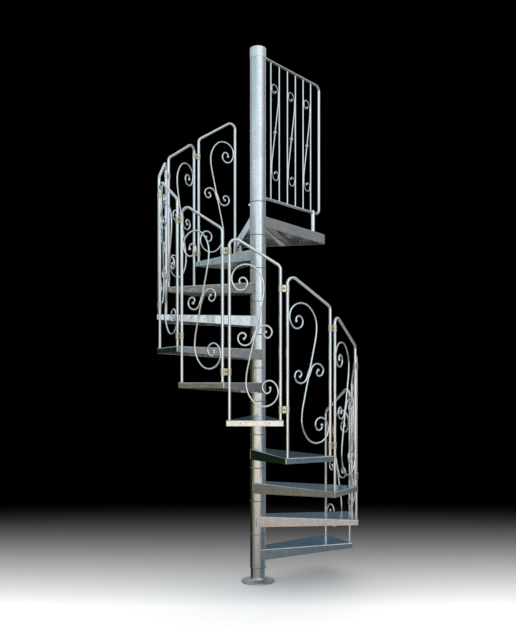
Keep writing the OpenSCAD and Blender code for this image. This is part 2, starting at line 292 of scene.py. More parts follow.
def bar(points, headings, radii, sides=16):
    """Round bar along a path in the plane x = 0: S(i, a) = P_i + r_i (cos a · left_i + sin a · x)."""
    a = np.linspace(0, 2 * np.pi, sides, endpoint=False)
    r = np.broadcast_to(radii, len(points))[:, None]
    flat = points[:, None] + (r * np.cos(a))[..., None] * across(headings)[:, None]
    return np.concatenate([(r * np.sin(a))[..., None], flat], axis=-1)


# %% Turned parts
LATHE_SIDES = 96
HOLD = 0.0004
SUPPORT = 0.001
AXIS_R = 0.0005
TUBE_EASE = 0.0008


def rounded(profile, radius, steps=4):
    """Closed profile with soft corners: each corner P becomes the curve
    (1-s)² A + 2s(1-s) P + s² B between points A and B at one radius from P on its two sides.
    One more point past A and past B holds the side flat, so that its shading stays straight."""
    p = np.asarray(profile, float)
    s = np.linspace(0, 1, steps)[None, :, None]
    ways = [np.roll(p, 1, 0) - p, np.roll(p, -1, 0) - p]
    ways = [way / np.linalg.norm(way, axis=1, keepdims=True) for way in ways]
    a, b = [(p + radius * way)[:, None] for way in ways]
    held = [(p + (radius + HOLD) * way)[:, None] for way in ways]
    curve = (1 - s) ** 2 * a + 2 * s * (1 - s) * p[:, None] + s**2 * b
    return np.concatenate([held[0], curve, held[1]], axis=1).reshape(-1, 2)


def lathe(profile, closed=True, sides=LATHE_SIDES):
    """Profile of (radius, z) points carried round the z axis: S(i, a) = (r_i cos a, r_i sin a, z_i)."""
    r, z = np.asarray(profile, float).T
    a = np.linspace(0, 2 * np.pi, sides, endpoint=False)
    rings = np.stack([np.outer(r, np.cos(a)), np.outer(r, np.sin(a)), np.outer(z, np.ones(sides))], axis=-1)
    return skin(rings, closed)


def sleeve(z_low, z_high, outer_r, inner_r, edge=TUBE_EASE):
    """Tube from z_low to z_high with eased edges."""
    box = [(inner_r, z_low), (outer_r, z_low), (outer_r, z_high), (inner_r, z_high)]
    return lathe(rounded(box, edge))


# %% [markdown]
# ## The camera
#
# The picture was taken at eye height with a level camera, a little to the right of the first tread.
# Its place comes from the corners of the treads: distance, azimuth and focal length are the values
# that put them where the picture has them. The frame is 516 × 640, so the 36 mm sensor spans the
# 640 pixels of its height, and a small upward shift stands for the horizon below the middle.

# %% Camera
IMAGE_H = 640
CAMERA_AZ = 13.92
CAMERA_REACH = 5.2286
CAMERA_Z = 1.3758
FOCAL_PX = 752.46
HORIZON_PX = 383.11
SENSOR = 36.0
view_az = math.radians(CAMERA_AZ)
camera = bpy.data.objects.new("camera", bpy.data.cameras.new("camera"))
camera.data.sensor_fit = "VERTICAL"
camera.data.sensor_height = SENSOR
camera.data.lens = FOCAL_PX / IMAGE_H * SENSOR
camera.data.shift_y = (HORIZON_PX - IMAGE_H / 2) / IMAGE_H
camera.location = (CAMERA_REACH * math.sin(view_az), -CAMERA_REACH * math.cos(view_az), CAMERA_Z)
camera.rotation_euler = (math.pi / 2, 0, view_az)
bpy.context.scene.collection.objects.link(camera)
bpy.context.scene.camera = camera
print("camera at", [round(v, 3) for v in camera.location], "lens", round(camera.data.lens, 2), "mm")

# %% [markdown]
# ## Node helpers and shared effects
#
# Hot-dip zinc has three looks that come back on every piece: spangle, runs and patina. Each is a
# node group with named sockets, so one definition serves all materials. Building nodes by hand
# takes many lines, so a few small helpers add a node, set its values and link it in one call.

# %% Node helpers
def add_node(tree, kind, inputs=None, **settings):
    """One node of a tree. Settings are its own options; inputs are values, or sockets to link."""
    made = tree.nodes.new(kind)
    for key, value in settings.items():
        setattr(made, key, value)
    for key, value in (inputs or {}).items():
        if isinstance(value, bpy.types.NodeSocket):
            tree.links.new(value, made.inputs[key])
        else:
            made.inputs[key].default_value = value
    return made


def math_node(tree, operation, a, b=0.0):
    """Result of one operation on two values or sockets."""
    return add_node(tree, "ShaderNodeMath", {0: a, 1: b}, operation=operation).outputs[0]


def blend_colour(tree, factor, a, b):
    """Colour that goes from a to b with the factor."""
    return add_node(tree, "ShaderNodeMix", {0: factor, 6: a, 7: b}, data_type="RGBA").outputs[2]


def remap(tree, value, start, end, new_start, new_end, kind="LINEAR"):
    """Value carried from one range to another and clamped there."""
    inputs = {"Value": value, "From Min": start, "From Max": end, "To Min": new_start, "To Max": new_end}
    return add_node(tree, "ShaderNodeMapRange", inputs, interpolation_type=kind).outputs["Result"]


def new_group(name, inputs, outputs):
    """Empty shader group with float sockets; an input named Vector is a vector."""
    group = bpy.data.node_groups.new(name, "ShaderNodeTree")
    for label, value in inputs.items():
        kind = "NodeSocketVector" if label == "Vector" else "NodeSocketFloat"
        socket = group.interface.new_socket(label, in_out="INPUT", socket_type=kind)
        if value is not None:
            socket.default_value = value
    for label in outputs:
        group.interface.new_socket(label, in_out="OUTPUT", socket_type="NodeSocketFloat")
    return group, group.nodes.new("NodeGroupInput"), group.nodes.new("NodeGroupOutput")


def use_group(tree, group, inputs):
    """A group placed in a material with its own values."""
    return add_node(tree, "ShaderNodeGroup", inputs, node_tree=group).outputs


# %% [markdown]
# Spangle is the patchwork of zinc crystals, and each crystal has its own tone and gloss. Crystals
# grow from many seeds until they meet, as Voronoi cells do. So cells of two sizes, on a space that
# noise bends a little, give the patchwork without a picture of it.

# %% Spangle
FINE_CRYSTALS = 2.3
WARP_SCALE = 40.0
WARP_DEPTH = 0.006


def make_spangle():
    """Crystals: cells of two sizes on a slightly bent space, each with a random tone."""
    group, given, made = new_group("Zinc spangle", {"Vector": None, "Size": 0.012}, ["Tone", "Facet"])
    place = given.outputs["Vector"]
    scale = math_node(group, "DIVIDE", 1.0, given.outputs["Size"])
    warp = add_node(group, "ShaderNodeTexNoise", {"Vector": place, "Scale": WARP_SCALE, "Detail": 2.0})
    bend = add_node(group, "ShaderNodeVectorMath", {0: warp.outputs[1], 3: WARP_DEPTH}, operation="SCALE")
    where = add_node(group, "ShaderNodeVectorMath", {0: place, 1: bend.outputs[0]}, operation="ADD")
    tones = []
    for share in (1.0, FINE_CRYSTALS):
        cells = add_node(group, "ShaderNodeTexVoronoi", {
            "Vector": where.outputs[0], "Scale": math_node(group, "MULTIPLY", scale, share)})
        tones.append(add_node(group, "ShaderNodeSeparateColor", {0: cells.outputs["Color"]}).outputs)
    mixed = math_node(group, "MULTIPLY", math_node(group, "ADD", tones[0][0], tones[1][0]), 0.5)
    group.links.new(mixed, made.inputs["Tone"])
    group.links.new(tones[0][1], made.inputs["Facet"])
    return group


SPANGLE = make_spangle()
print("group:", SPANGLE.name)

# %% [markdown]
# Runs are the long soft marks of zinc that flowed off while the piece was lifted from the bath.
# Noise that is squeezed along z makes long marks, and only its strong places are kept.

# %% Runs
RUN_FROM, RUN_FULL = 0.48, 0.68


def make_runs():
    """Runs: noise stretched along z, kept where it is strong, so that marks hang like drips."""
    inputs = {"Vector": None, "Width": 0.02, "Stretch": 9.0}
    group, given, made = new_group("Zinc runs", inputs, ["Mask", "Height"])
    place = given.outputs["Vector"]
    squeeze = add_node(group, "ShaderNodeCombineXYZ", {
        0: 1.0, 1: 1.0, 2: math_node(group, "DIVIDE", 1.0, given.outputs["Stretch"])})
    where = add_node(group, "ShaderNodeVectorMath", {0: place, 1: squeeze.outputs[0]}, operation="MULTIPLY")
    noise = add_node(group, "ShaderNodeTexNoise", {
        "Vector": where.outputs[0], "Scale": math_node(group, "DIVIDE", 1.0, given.outputs["Width"]),
        "Detail": 3.0, "Roughness": 0.55})
    mask = remap(group, noise.outputs[0], RUN_FROM, RUN_FULL, 0.0, 1.0, "SMOOTHSTEP")
    group.links.new(mask, made.inputs["Mask"])
    group.links.new(noise.outputs[0], made.inputs["Height"])
    return group


RUNS = make_runs()
print("group:", RUNS.name)

# %% [markdown]
# Patina is the cloudy dull grey of the first months outdoors. Wide clouds say where it lies, and a
# finer noise added to them frays the edges of the patches.

# %% Patina
PATCH_FROM, PATCH_FULL = 0.62, 0.92
FRAY_SCALE = 9.0
FRAY_SHARE = 0.5


def make_patina():
    """Patina: soft clouds and finer ones added, kept where the sum is high, so edges are ragged."""
    inputs = {"Vector": None, "Size": 0.25, "Amount": 0.5}
    group, given, made = new_group("Zinc patina", inputs, ["Mask", "Swell"])
    place = given.outputs["Vector"]
    scale = math_node(group, "DIVIDE", 1.0, given.outputs["Size"])
    cloud = add_node(group, "ShaderNodeTexNoise", {"Vector": place, "Scale": scale, "Detail": 2.0})
    fine = math_node(group, "MULTIPLY", scale, FRAY_SCALE)
    grain = add_node(group, "ShaderNodeTexNoise", {"Vector": place, "Scale": fine, "Detail": 4.0})
    frayed = math_node(group, "MULTIPLY", grain.outputs[0], FRAY_SHARE)
    both = math_node(group, "ADD", cloud.outputs[0], frayed)
    patch = remap(group, both, PATCH_FROM, PATCH_FULL, 0.0, 1.0, "SMOOTHSTEP")
    group.links.new(math_node(group, "MULTIPLY", patch, given.outputs["Amount"]), made.inputs["Mask"])
    group.links.new(cloud.outputs[0], made.inputs["Swell"])
    return group


PATINA = make_patina()
print("group:", PATINA.name)

# %% [markdown]
# ## Zinc finishes
#
# One recipe makes every finish: crystals choose between a dull and a bright tone, patina greys and
# roughens it, runs lighten it, and the same masks drive roughness and a shallow bump. A sheet shows
# wide crystals, a drawn tube fine ones and long runs, a cut plate little of either.

# %% Zinc recipe
PATCH_SIZE = 0.25
CLOUD_SHADE, CLOUD_HAZE = 0.80, 0.06
RUN_LIFT = 0.35
FACET_ROUGH, CLOUD_ROUGH = 0.45, 0.55
CRYSTAL_RELIEF, RUN_RELIEF = 0.15, 0.6
RELIEF = 0.6


def zinc(name, dull, bright, crystal, run_width, patina, rough, bump, metal=1.0, glance=1.0):
    """Zinc finish. dull and bright are the crystals' colours, crystal and run_width sizes in metres,
    patina how much of it has gone dull, rough the lowest and highest roughness, bump its depth, and
    glance how much of the mirror is left where it is seen at a low angle, where a dull skin shows."""
    material = bpy.data.materials.new(name)
    material.use_nodes = True
    tree = material.node_tree
    shader = tree.nodes["Principled BSDF"]
    shader.inputs["Metallic"].default_value = metal
    shader.inputs["Specular Tint"].default_value = (glance, glance, glance, 1)
    where = add_node(tree, "ShaderNodeTexCoord").outputs["Object"]
    crystals = use_group(tree, SPANGLE, {"Vector": where, "Size": crystal})
    runs = use_group(tree, RUNS, {"Vector": where, "Width": run_width})
    clouds = use_group(tree, PATINA, {"Vector": where, "Size": PATCH_SIZE, "Amount": patina})
    colour = blend_colour(tree, crystals["Tone"], (*dull, 1), (*bright, 1))
    clouded = tuple(CLOUD_SHADE * d + CLOUD_HAZE for d in dull)
    colour = blend_colour(tree, clouds["Mask"], colour, (*clouded, 1))
    lift = math_node(tree, "MULTIPLY", runs["Mask"], RUN_LIFT)
    colour = blend_colour(tree, lift, colour, (*bright, 1))
    tree.links.new(colour, shader.inputs["Base Color"])
    gloss = math_node(tree, "ADD", math_node(tree, "MULTIPLY", crystals["Facet"], FACET_ROUGH),
                      math_node(tree, "MULTIPLY", clouds["Mask"], CLOUD_ROUGH))
    tree.links.new(remap(tree, gloss, 0.0, 1.0, *rough), shader.inputs["Roughness"])
    flow = math_node(tree, "ADD", math_node(tree, "MULTIPLY", runs["Height"], RUN_RELIEF), clouds["Swell"])
    height = math_node(tree, "ADD", math_node(tree, "MULTIPLY", crystals["Tone"], CRYSTAL_RELIEF), flow)
    relief = add_node(tree, "ShaderNodeBump", {"Strength": RELIEF, "Distance": bump, "Height": height})
    tree.links.new(relief.outputs[0], shader.inputs["Normal"])
    return material


# %% Zinc finishes
SHEET_ZINC = zinc("sheet_zinc", (0.53, 0.56, 0.57), (0.70, 0.72, 0.73), crystal=0.022, run_width=0.030,
                  patina=0.4, rough=(0.08, 0.24), bump=0.0003, glance=0.80)
TUBE_ZINC = zinc("column_zinc", (0.56, 0.58, 0.59), (0.76, 0.78, 0.79), crystal=0.007, run_width=0.016,
                 patina=0.4, rough=(0.14, 0.34), bump=0.0003)
BAR_ZINC = zinc("railing_zinc", (0.76, 0.78, 0.78), (0.88, 0.89, 0.89), crystal=0.006, run_width=0.012,
                patina=0.3, rough=(0.16, 0.32), bump=0.0001)
RING_ZINC = zinc("ring_zinc", (0.18, 0.18, 0.17), (0.36, 0.35, 0.33), crystal=0.005, run_width=0.010,
                 patina=0.7, rough=(0.40, 0.60), bump=0.0003)
CLIP_ZINC = zinc("clip_zinc", (0.56, 0.52, 0.40), (0.82, 0.77, 0.61), crystal=0.004, run_width=0.008,
                 patina=0.6, rough=(0.28, 0.48), bump=0.0002)
BASE_ZINC = zinc("base_zinc", (0.44, 0.46, 0.47), (0.58, 0.60, 0.61), crystal=0.006, run_width=0.020,
                 patina=0.5, rough=(0.38, 0.56), bump=0.0003)
CAP_ZINC = zinc("cap_zinc", (0.70, 0.80, 0.77), (0.82, 0.90, 0.87), crystal=0.004, run_width=0.020,
                patina=0.3, rough=(0.30, 0.45), bump=0.0002, metal=0.7)
# Dark weld zinc; on the hub seams it is also painted shade, the shadow line at the cut end of each rim.
WELD_AND_SEAM_SHADE_ZINC = zinc("weld_and_seam_shade_zinc", (0.30, 0.31, 0.31), (0.50, 0.51, 0.51), crystal=0.003, run_width=0.006,
                 patina=0.6, rough=(0.35, 0.60), bump=0.0003)
BOLT_ZINC = zinc("bolt_zinc", (0.16, 0.14, 0.11), (0.30, 0.27, 0.22), crystal=0.003, run_width=0.006,
                 patina=0.3, rough=(0.28, 0.48), bump=0.0001)
print("finishes:", [m.name for m in bpy.data.materials if m.name.endswith("_zinc")])

# %% [markdown]
# ## The column
#
# A pole stands on a floor flange and carries a sleeve for each step, with a thin ring that stands
# a little proud under every sleeve. All of it comes from a lathe in the real kit too, so profiles
# carried round the axis are the natural way. Eased edges catch the light at every joint.

# %% Sleeves, rings, newel post and pole
SLEEVE_WALL = 0.003
POLE_WALL = 0.004
RING_EASE = 0.0014
hub_starts = [step_z(k) - HUB_BELOW for k in range(1, len(TREADS) + 3)]
bore_r = SLEEVE_R - SLEEVE_WALL
sleeves = [sleeve(z + RING_T, z + RISER, SLEEVE_R, bore_r) for z in hub_starts[:-1]]
piece("sleeve_stack", *joined(sleeves), TUBE_ZINC, "column_tube", ["hub_sleeves"])
rings = [sleeve(z, z + RING_T, RING_R, bore_r, edge=RING_EASE) for z in hub_starts]
piece("ring_stack", *joined(rings), RING_ZINC, "ring_steel", ["spacer_rings"])
newel = sleeve(low("newel_post")[2], high("newel_post")[2], SLEEVE_R, bore_r)
piece("newel_tube", *newel, TUBE_ZINC, "column_tube", ["newel_post"])
pole = sleeve(low("centre_pole")[2], high("centre_pole")[2], POLE_R, POLE_R - POLE_WALL)
piece("inner_pole", *pole, TUBE_ZINC, "column_tube", ["centre_pole"])

# %% [markdown]
# The cap is a pressed cup with a rounded rim, slightly crowned on top as such caps are. Its profile
# starts at the crown, runs over the rim and down the skirt, and returns inside.

# %% Cap
CAP_WALL = 0.0015
CAP_EDGE = 0.003
CAP_CROWN = 0.0012
CAP_LIP = 0.0006
CAP_PLATE = 0.006
cap_r = high("newel_cap")[0]
cap_low, cap_high = low("newel_cap")[2], high("newel_cap")[2]
turn = np.radians(np.linspace(0, 90, 8))
crown_r = np.linspace(AXIS_R, cap_r - CAP_EDGE, 8)
crown = np.stack([crown_r, cap_high - CAP_CROWN * (crown_r / cap_r) ** 2], axis=-1)
rim_r = cap_r - CAP_EDGE + CAP_EDGE * np.sin(turn)
rim = np.stack([rim_r, cap_high - CAP_CROWN - CAP_EDGE * (1 - np.cos(turn))], axis=-1)
inside = cap_r - CAP_WALL
skirt = [(cap_r, rim[-1, 1] - SUPPORT), (cap_r, cap_low + CAP_LIP + SUPPORT), (cap_r, cap_low + CAP_LIP),
         (cap_r - CAP_LIP, cap_low), (inside, cap_low), (inside, cap_high - CAP_PLATE),
         (AXIS_R, cap_high - CAP_PLATE)]
cap = lathe(np.vstack([crown, rim[1:], skirt]), closed=False)
piece("post_cap", *cap, CAP_ZINC, "cap", ["newel_cap"])

# %% [markdown]
# ## Drilling and seaming
#
# Two jobs are left to Blender's own mesh tools. A boolean drills the round holes, because a hole
# follows neither of the two parameters of a surface. Merging equal points closes the seams between
# the patches that make up one folded sheet.

# %% Drilling and seaming
MERGE = 1e-6


def mesh_of(points, faces):
    """Working mesh from points and faces."""
    mesh = bpy.data.meshes.new("work")
    mesh.from_pydata(points.tolist(), [], faces)
    return mesh


def arrays_of(mesh):
    """Points and faces of a working mesh."""
    found = np.empty(len(mesh.vertices) * 3)
    mesh.vertices.foreach_get("co", found)
    return found.reshape(-1, 3), [list(p.vertices) for p in mesh.polygons]


def cutter(centre, direction, radius, length, sides=24):
    """Round cutter: circle c + r (cos a · u + sin a · v) at both ends of its length along direction."""
    w = np.asarray(direction, float)
    u = np.cross(w, [0.0, 0.0, 1.0] if abs(w[2]) < 0.9 else [1.0, 0.0, 0.0])
    u /= np.linalg.norm(u)
    a = np.linspace(0, 2 * np.pi, sides, endpoint=False)[:, None]
    circle = np.asarray(centre) + radius * (np.cos(a) * u + np.sin(a) * np.cross(w, u))
    return skin(np.stack([circle - w * length / 2, circle + w * length / 2]))


def drilled(points, faces, holes):
    """Mesh with round holes: holes are (centre, axis direction, radius, length) of the cutters."""
    cutters = joined([cutter(*hole) for hole in holes])
    work = [bpy.data.objects.new("work", mesh_of(*shell)) for shell in ((points, faces), cutters)]
    for spare in work:
        bpy.context.scene.collection.objects.link(spare)
    cut = work[0].modifiers.new("holes", "BOOLEAN")
    cut.operation, cut.object, cut.solver = "DIFFERENCE", work[1], "EXACT"
    seen = work[0].evaluated_get(bpy.context.evaluated_depsgraph_get())
    found = arrays_of(bpy.data.meshes.new_from_object(seen))
    for spare in work:
        bpy.data.objects.remove(spare)
    return found


def seamed(points, faces):
    """Mesh with equal points merged and its faces turned outwards."""
    mesh = mesh_of(points, faces)
    work = bmesh.new()
    work.from_mesh(mesh)
    bmesh.ops.remove_doubles(work, verts=work.verts, dist=MERGE)
    bmesh.ops.dissolve_degenerate(work, edges=work.edges, dist=MERGE)
    bmesh.ops.recalc_face_normals(work, faces=work.faces)
    open_edges = sum(not edge.is_manifold for edge in work.edges)
    work.to_mesh(mesh)
    work.free()
    print("  seamed:", len(mesh.vertices), "points,", open_edges, "open edges")
    return arrays_of(mesh)


# %% [markdown]
# ## The floor flange
#
# The foot is a round plate with a trumpet collar up to the pole, drilled for three anchors. It
# could be two pieces with a weld between them, but plate and collar flow into each other here, so
# they are one turned profile.

# %% Floor flange
FLANGE_T = 0.010
FLANGE_BORE_R = 0.012
FOOT_FLARE = high("base_flange")[2] - FLANGE_T
RIM_EASE = [(-0.004, 0.0), (-0.003, 0.0), (-0.001, -0.0008), (0.0, -0.003), (0.0, -0.004)]
UNDER_EASE = 0.0015
ANCHOR_R = 0.095
ANCHOR_HOLE_R = 0.007
ANCHORS = 3
CUTTER_L = 0.05
foot_r = POLE_R + WELD_GAP
flange_r = high("base_flange")[0]
trumpet = np.radians(np.linspace(180, 270, 12))
collar = np.stack([foot_r + FOOT_FLARE + FOOT_FLARE * np.cos(trumpet),
                   FLANGE_T + FOOT_FLARE + FOOT_FLARE * np.sin(trumpet)], axis=-1)
plate_rim = np.vstack([np.array(RIM_EASE) + [flange_r, FLANGE_T],
                       [(flange_r, UNDER_EASE), (flange_r - UNDER_EASE, 0.0)]])
plate_top = [(FLANGE_BORE_R, FLANGE_T), (foot_r, FLANGE_T)]
profile = np.vstack([plate_top, collar, plate_rim, [(FLANGE_BORE_R, 0.0)]])
anchor_az = np.radians(LANDING_AZ + 360 / ANCHORS * np.arange(ANCHORS))
anchor_spots = [(ANCHOR_R * math.cos(a), ANCHOR_R * math.sin(a), FLANGE_T / 2) for a in anchor_az]
anchors = [(spot, (0, 0, 1), ANCHOR_HOLE_R, CUTTER_L) for spot in anchor_spots]
piece("floor_flange", *drilled(*lathe(profile), anchors), BASE_ZINC, "base_plate", ["base_flange"])

# %% [markdown]
# ## The folded pans
#
# A tread is one sheet, folded down on three sides into an upside-down pan that is open below. The
# side rims are tangents to the hub and grow shallower outwards. In plan the rim is three lines
# with two soft corners, and any line inside it is the same outline, inset. So one function,
# inset → outline, gives the fold, the rim, its cut edge and its inside as rows of one grid.
# Solidify on a bent plane would be quicker, but it can't taper the rims and round the cut edges.

# %% Outline and profile of a pan
ROWS_SIDE, ROWS_EDGE, ROWS_CORNER, ROWS_FOLD = 26, 22, 7, 7
SIDE_END, EDGE_END = 0.998, 0.994
SIDE_SHARES = np.append(np.linspace(0, SIDE_END, ROWS_SIDE - 1), 1.0)
FLAT_FROM = FOLD_R + SUPPORT
CUT_EASE = 0.0006


def pan_outline(reach, width, inset):
    """Plan of a pan's rim at an inset: hub to corner, round the corner, across, and back to the hub.
    Within the corner radius a corner is an arc about a fixed centre; deeper in, it is one point."""
    turn = flare(reach, width)
    hub = (RIM_TANGENT_R - inset) * np.array([-math.sin(turn), math.cos(turn)])
    centre_inset = max(inset, CORNER_R)
    centre = np.array([reach - centre_inset, edge_y(reach - centre_inset, reach, width, centre_inset)])
    swing = np.linspace(math.pi / 2 + turn, 0, ROWS_CORNER)[:, None]
    corner = centre + max(CORNER_R - inset, 0) * np.hstack([np.cos(swing), np.sin(swing)])
    side = hub + SIDE_SHARES[:, None] * (corner[0] - hub)
    half = np.vstack([side[:-1], corner])
    shares = np.linspace(EDGE_END, -EDGE_END, ROWS_EDGE)[:, None]
    middle = shares * corner[-1] * [0, 1] + corner[-1] * [1, 0]
    return np.vstack([half, middle, half[::-1] * [1, -1]])


def pan_profile(depth):
    """Rows of a pan's rim as (inset, depth) pairs: over the fold, down the outside, round the cut
    edge and up the inside, with a row beside each bend that keeps the flat sides flat in the light.
    Depth is an array along the outline, because the rims taper."""
    t = np.radians(np.linspace(0, 90, ROWS_FOLD))
    flat = np.ones_like(depth)
    fold = [(FOLD_R * (1 - math.sin(a)), FOLD_R * (1 - math.cos(a)) * flat) for a in t]
    near, eased = depth - CUT_EASE - SUPPORT, depth - CUT_EASE
    edge = [(0.0, FLAT_FROM * flat), (0.0, near), (0.0, eased), (CUT_EASE, depth),
            (SHEET - CUT_EASE, depth), (SHEET, eased), (SHEET, near), (SHEET, FLAT_FROM * flat)]
    bend = FOLD_R - SHEET
    inner = [(FOLD_R - bend * math.sin(a), (FOLD_R - bend * math.cos(a)) * flat) for a in t[::-1]]
    return [(FLAT_FROM, 0 * flat)] + fold + edge + inner + [(FLAT_FROM, SHEET * flat)]


print("pan rows:", ROWS_SIDE, "along a side,", ROWS_EDGE, "along the outer edge")


# %% One folded pan
def pan_deck(reach, width, z):
    """Flat part of a pan at height z: P(s, n) = (1 - s) · hub arc(n) + s · outer fold line(n)."""
    outline = pan_outline(reach, width, FLAT_FROM)
    left = ROWS_SIDE - 1 + ROWS_CORNER
    outer = outline[left - 1:len(outline) - left + 1]
    n = outer[:, 1] / outer[0, 1]
    swing = n * (math.pi / 2 + flare(reach, width))
    hub = (RIM_TANGENT_R - FLAT_FROM) * np.stack([np.cos(swing), np.sin(swing)], axis=-1)
    s = SIDE_SHARES[:, None, None]
    deck = (1 - s) * hub + s * outer
    return np.concatenate([deck, np.full(deck.shape[:2] + (1,), z)], axis=-1)


def sheet_faces(rows, columns):
    """Quads of an open grid that is stored row by row."""
    index = np.arange(rows * columns).reshape(rows, columns)
    quads = [index[:-1, :-1], index[1:, :-1], index[1:, 1:], index[:-1, 1:]]
    return np.stack(quads, axis=-1).reshape(-1, 4).tolist()


def pan(reach, width, depth_hub, depth_edge):
    """Folded pan with its top at z = 0 that points along +x, as one closed shell."""
    plan = pan_outline(reach, width, 0.0)
    depth = depth_hub + (depth_edge - depth_hub) * np.clip(plan[:, 0] / reach, 0, 1)
    rim_rows = np.stack([np.column_stack([pan_outline(reach, width, inset), -drop])
                         for inset, drop in pan_profile(depth)])
    count, length = rim_rows.shape[:2]
    top, under = pan_deck(reach, width, 0.0), pan_deck(reach, width, -SHEET)
    hub_edge = np.stack([top[0], under[0]])
    ends = [[i * length + column for i in range(count)] for column in (0, length - 1)]
    patches = [(rim_rows.reshape(-1, 3), sheet_faces(count, length) + ends)]
    patches += [(grid.reshape(-1, 3), sheet_faces(*grid.shape[:2])) for grid in (top, under, hub_edge)]
    return seamed(*joined(patches))


# %% [markdown]
# All ten treads are the same pan, so it is made and drilled once, and placed ten times.

# %% Treads
RIM_HOLE_R = 0.004
RIM_HOLE_Y = 0.088
RIM_CUTTER_L = 0.02


def rim_holes(reach, half_spacing, drop, radius):
    """The pair of holes through an outer rim."""
    return [((reach, side * half_spacing, -drop), (1, 0, 0), radius, RIM_CUTTER_L) for side in (-1, 1)]


tread_points, tread_faces = drilled(*pan(TREAD_REACH, TREAD_W, RIM_HUB, RIM_EDGE),
                                    rim_holes(TREAD_REACH, RIM_HOLE_Y, RIM_EDGE / 2, RIM_HOLE_R))
for k, name in enumerate(TREADS, start=1):
    piece(name.replace("tread", "step_pan"), placed(tread_points, step_az(k), z=step_z(k)), tread_faces,
          SHEET_ZINC, "tread_sheet", [name])

# %% [markdown]
# The landing is a wider pan whose rims keep one depth. Two larger holes in its outer rim take the
# bolts that fix it to the upper floor.

# %% Landing
LANDING_HOLE_R = 0.0065
LANDING_HOLE_Y = 0.140
LANDING_HOLE_DROP = 0.044
landing_points, landing_faces = drilled(
    *pan(LANDING_REACH, LANDING_W, LANDING_RIM, LANDING_RIM),
    rim_holes(LANDING_REACH, LANDING_HOLE_Y, LANDING_HOLE_DROP, LANDING_HOLE_R))
landing_points = placed(landing_points, LANDING_AZ, z=LANDING_Z)
piece("landing_pan", landing_points, landing_faces, SHEET_ZINC, "tread_sheet", ["landing"])

# %% [markdown]
# Under the landing a tube runs from the hub to the outer rim, with a thicker socket at its outer
# end. It is a turned profile laid along y, the landing's direction.

# %% Landing brace
BRACE_R = 0.015
SOCKET_R = 0.019
SOCKET_L = 0.120
SOCKET_EASE = 0.001
brace_z = (low("landing_brace")[2] + high("landing_brace")[2]) / 2
brace_end = high("landing_brace")[1]
socket_y = brace_end - SOCKET_L
brace_profile = [(AXIS_R, SLEEVE_R), (BRACE_R, SLEEVE_R), (BRACE_R, socket_y),
                 (SOCKET_R - SOCKET_EASE, socket_y), (SOCKET_R, socket_y + SOCKET_EASE),
                 (SOCKET_R, brace_end), (AXIS_R, brace_end)]
brace, brace_faces = lathe(brace_profile, closed=False, sides=48)
brace = np.stack([brace[:, 0], brace[:, 2], brace_z - brace[:, 1]], axis=-1)
piece("brace_tube", brace, brace_faces, BAR_ZINC, "railing_bar", ["landing_brace"])

# %% [markdown]
# A short leg hangs under the landing where one more panel would stand, so that the last panel has
# something to be clipped to. It is a turned rod with a slightly domed lower end.

# %% Tie leg
TIE_DOME = 0.003
TIE_TIP_R = 0.0002
tie_low, tie_high = low("landing_tie_leg"), high("landing_tie_leg")
t = np.radians(np.linspace(0, 80, 6))
tie_dome = np.stack([LEG_R * np.sin(t) + TIE_TIP_R, tie_low[2] + TIE_DOME * (1 - np.cos(t))], axis=-1)
tie_profile = np.vstack([tie_dome, [(LEG_R, tie_low[2] + TIE_DOME + SUPPORT), (LEG_R, tie_high[2])]])
tie, tie_faces = lathe(tie_profile, closed=False, sides=32)
tie_axis = (tie_low + tie_high) / 2 * [1, 1, 0]
piece("tie_leg", tie + tie_axis, tie_faces, BAR_ZINC, "railing_bar", ["landing_tie_leg"])

# %% [markdown]
# ## The railing panels
#
# Each panel is one tube bent twice, with a big S-scroll between its legs and two small scrolls that
# leave the S near its middle. The S is drawn once, from its middle up: a leaning stem, a wide bend,
# a long side, a rounder top, and then arcs that shrink to the ball. A half turn gives the other
# end, as a smith would bend two equal halves over one jig. A curve object with a bevel could do
# this too, but arcs give the radii by name, and the S can be made to touch the legs exactly.

# %% One railing panel
SCROLL_CURLS = [(1.0, 90), (0.48, 90), (0.49, 90), (0.25, 145)]
SIDE_CURLS = [(1.0, STEM_TILT - 135), (0.88, -90), (0.50, -90), (0.38, -95)]
LEAD_ROWS = 8
LEAD_TIP = 0.3


def frame_tube():
    """Bent tube: up the lower leg, along the sloping rail and down the higher leg."""
    turns = 90 - RAIL_PITCH, 90 + RAIL_PITCH
    cuts = [RAIL_BEND * math.tan(math.radians(turn / 2)) for turn in turns]
    slope = 2 * LEG_Y / math.cos(math.radians(RAIL_PITCH))
    path = trace((LEG_Y, 0), 90, [
        (RAIL_H - RAIL_DROP - cuts[0], 0), (RAIL_BEND, turns[0]), (slope - sum(cuts), 0),
        (RAIL_BEND, turns[1]), (RAIL_H - cuts[1], 0)])
    return bar(*path, LEG_R, sides=24)


def scroll_half():
    """Half of the S: a leaning stem, a bend to upright, a long volute side, a rounder top that takes
    up the width that is left, the curl that touches the leg, and tighter arcs that end in a ball."""
    tilt = math.radians(STEM_TILT)
    lean = STEM_L * math.sin(tilt) + STEM_BEND * (1 - math.cos(tilt))
    reach = LEG_Y - LEG_R - SCROLL_R - WELD_GAP
    eighth = math.sqrt(0.5)
    top_r = (reach + lean - (1 - eighth) * (VOLUTE_R + CURL_R)) / (2 * eighth)
    stretches = [(STEM_L, 0), (STEM_BEND, STEM_TILT), (VOLUTE_R, 45), (top_r, 90)]
    stretches += [(share * CURL_R, turn) for share, turn in SCROLL_CURLS]
    path = trace((0, 0), 90 - STEM_TILT, stretches)
    return balled(*path, SCROLL_R, BALL_R)


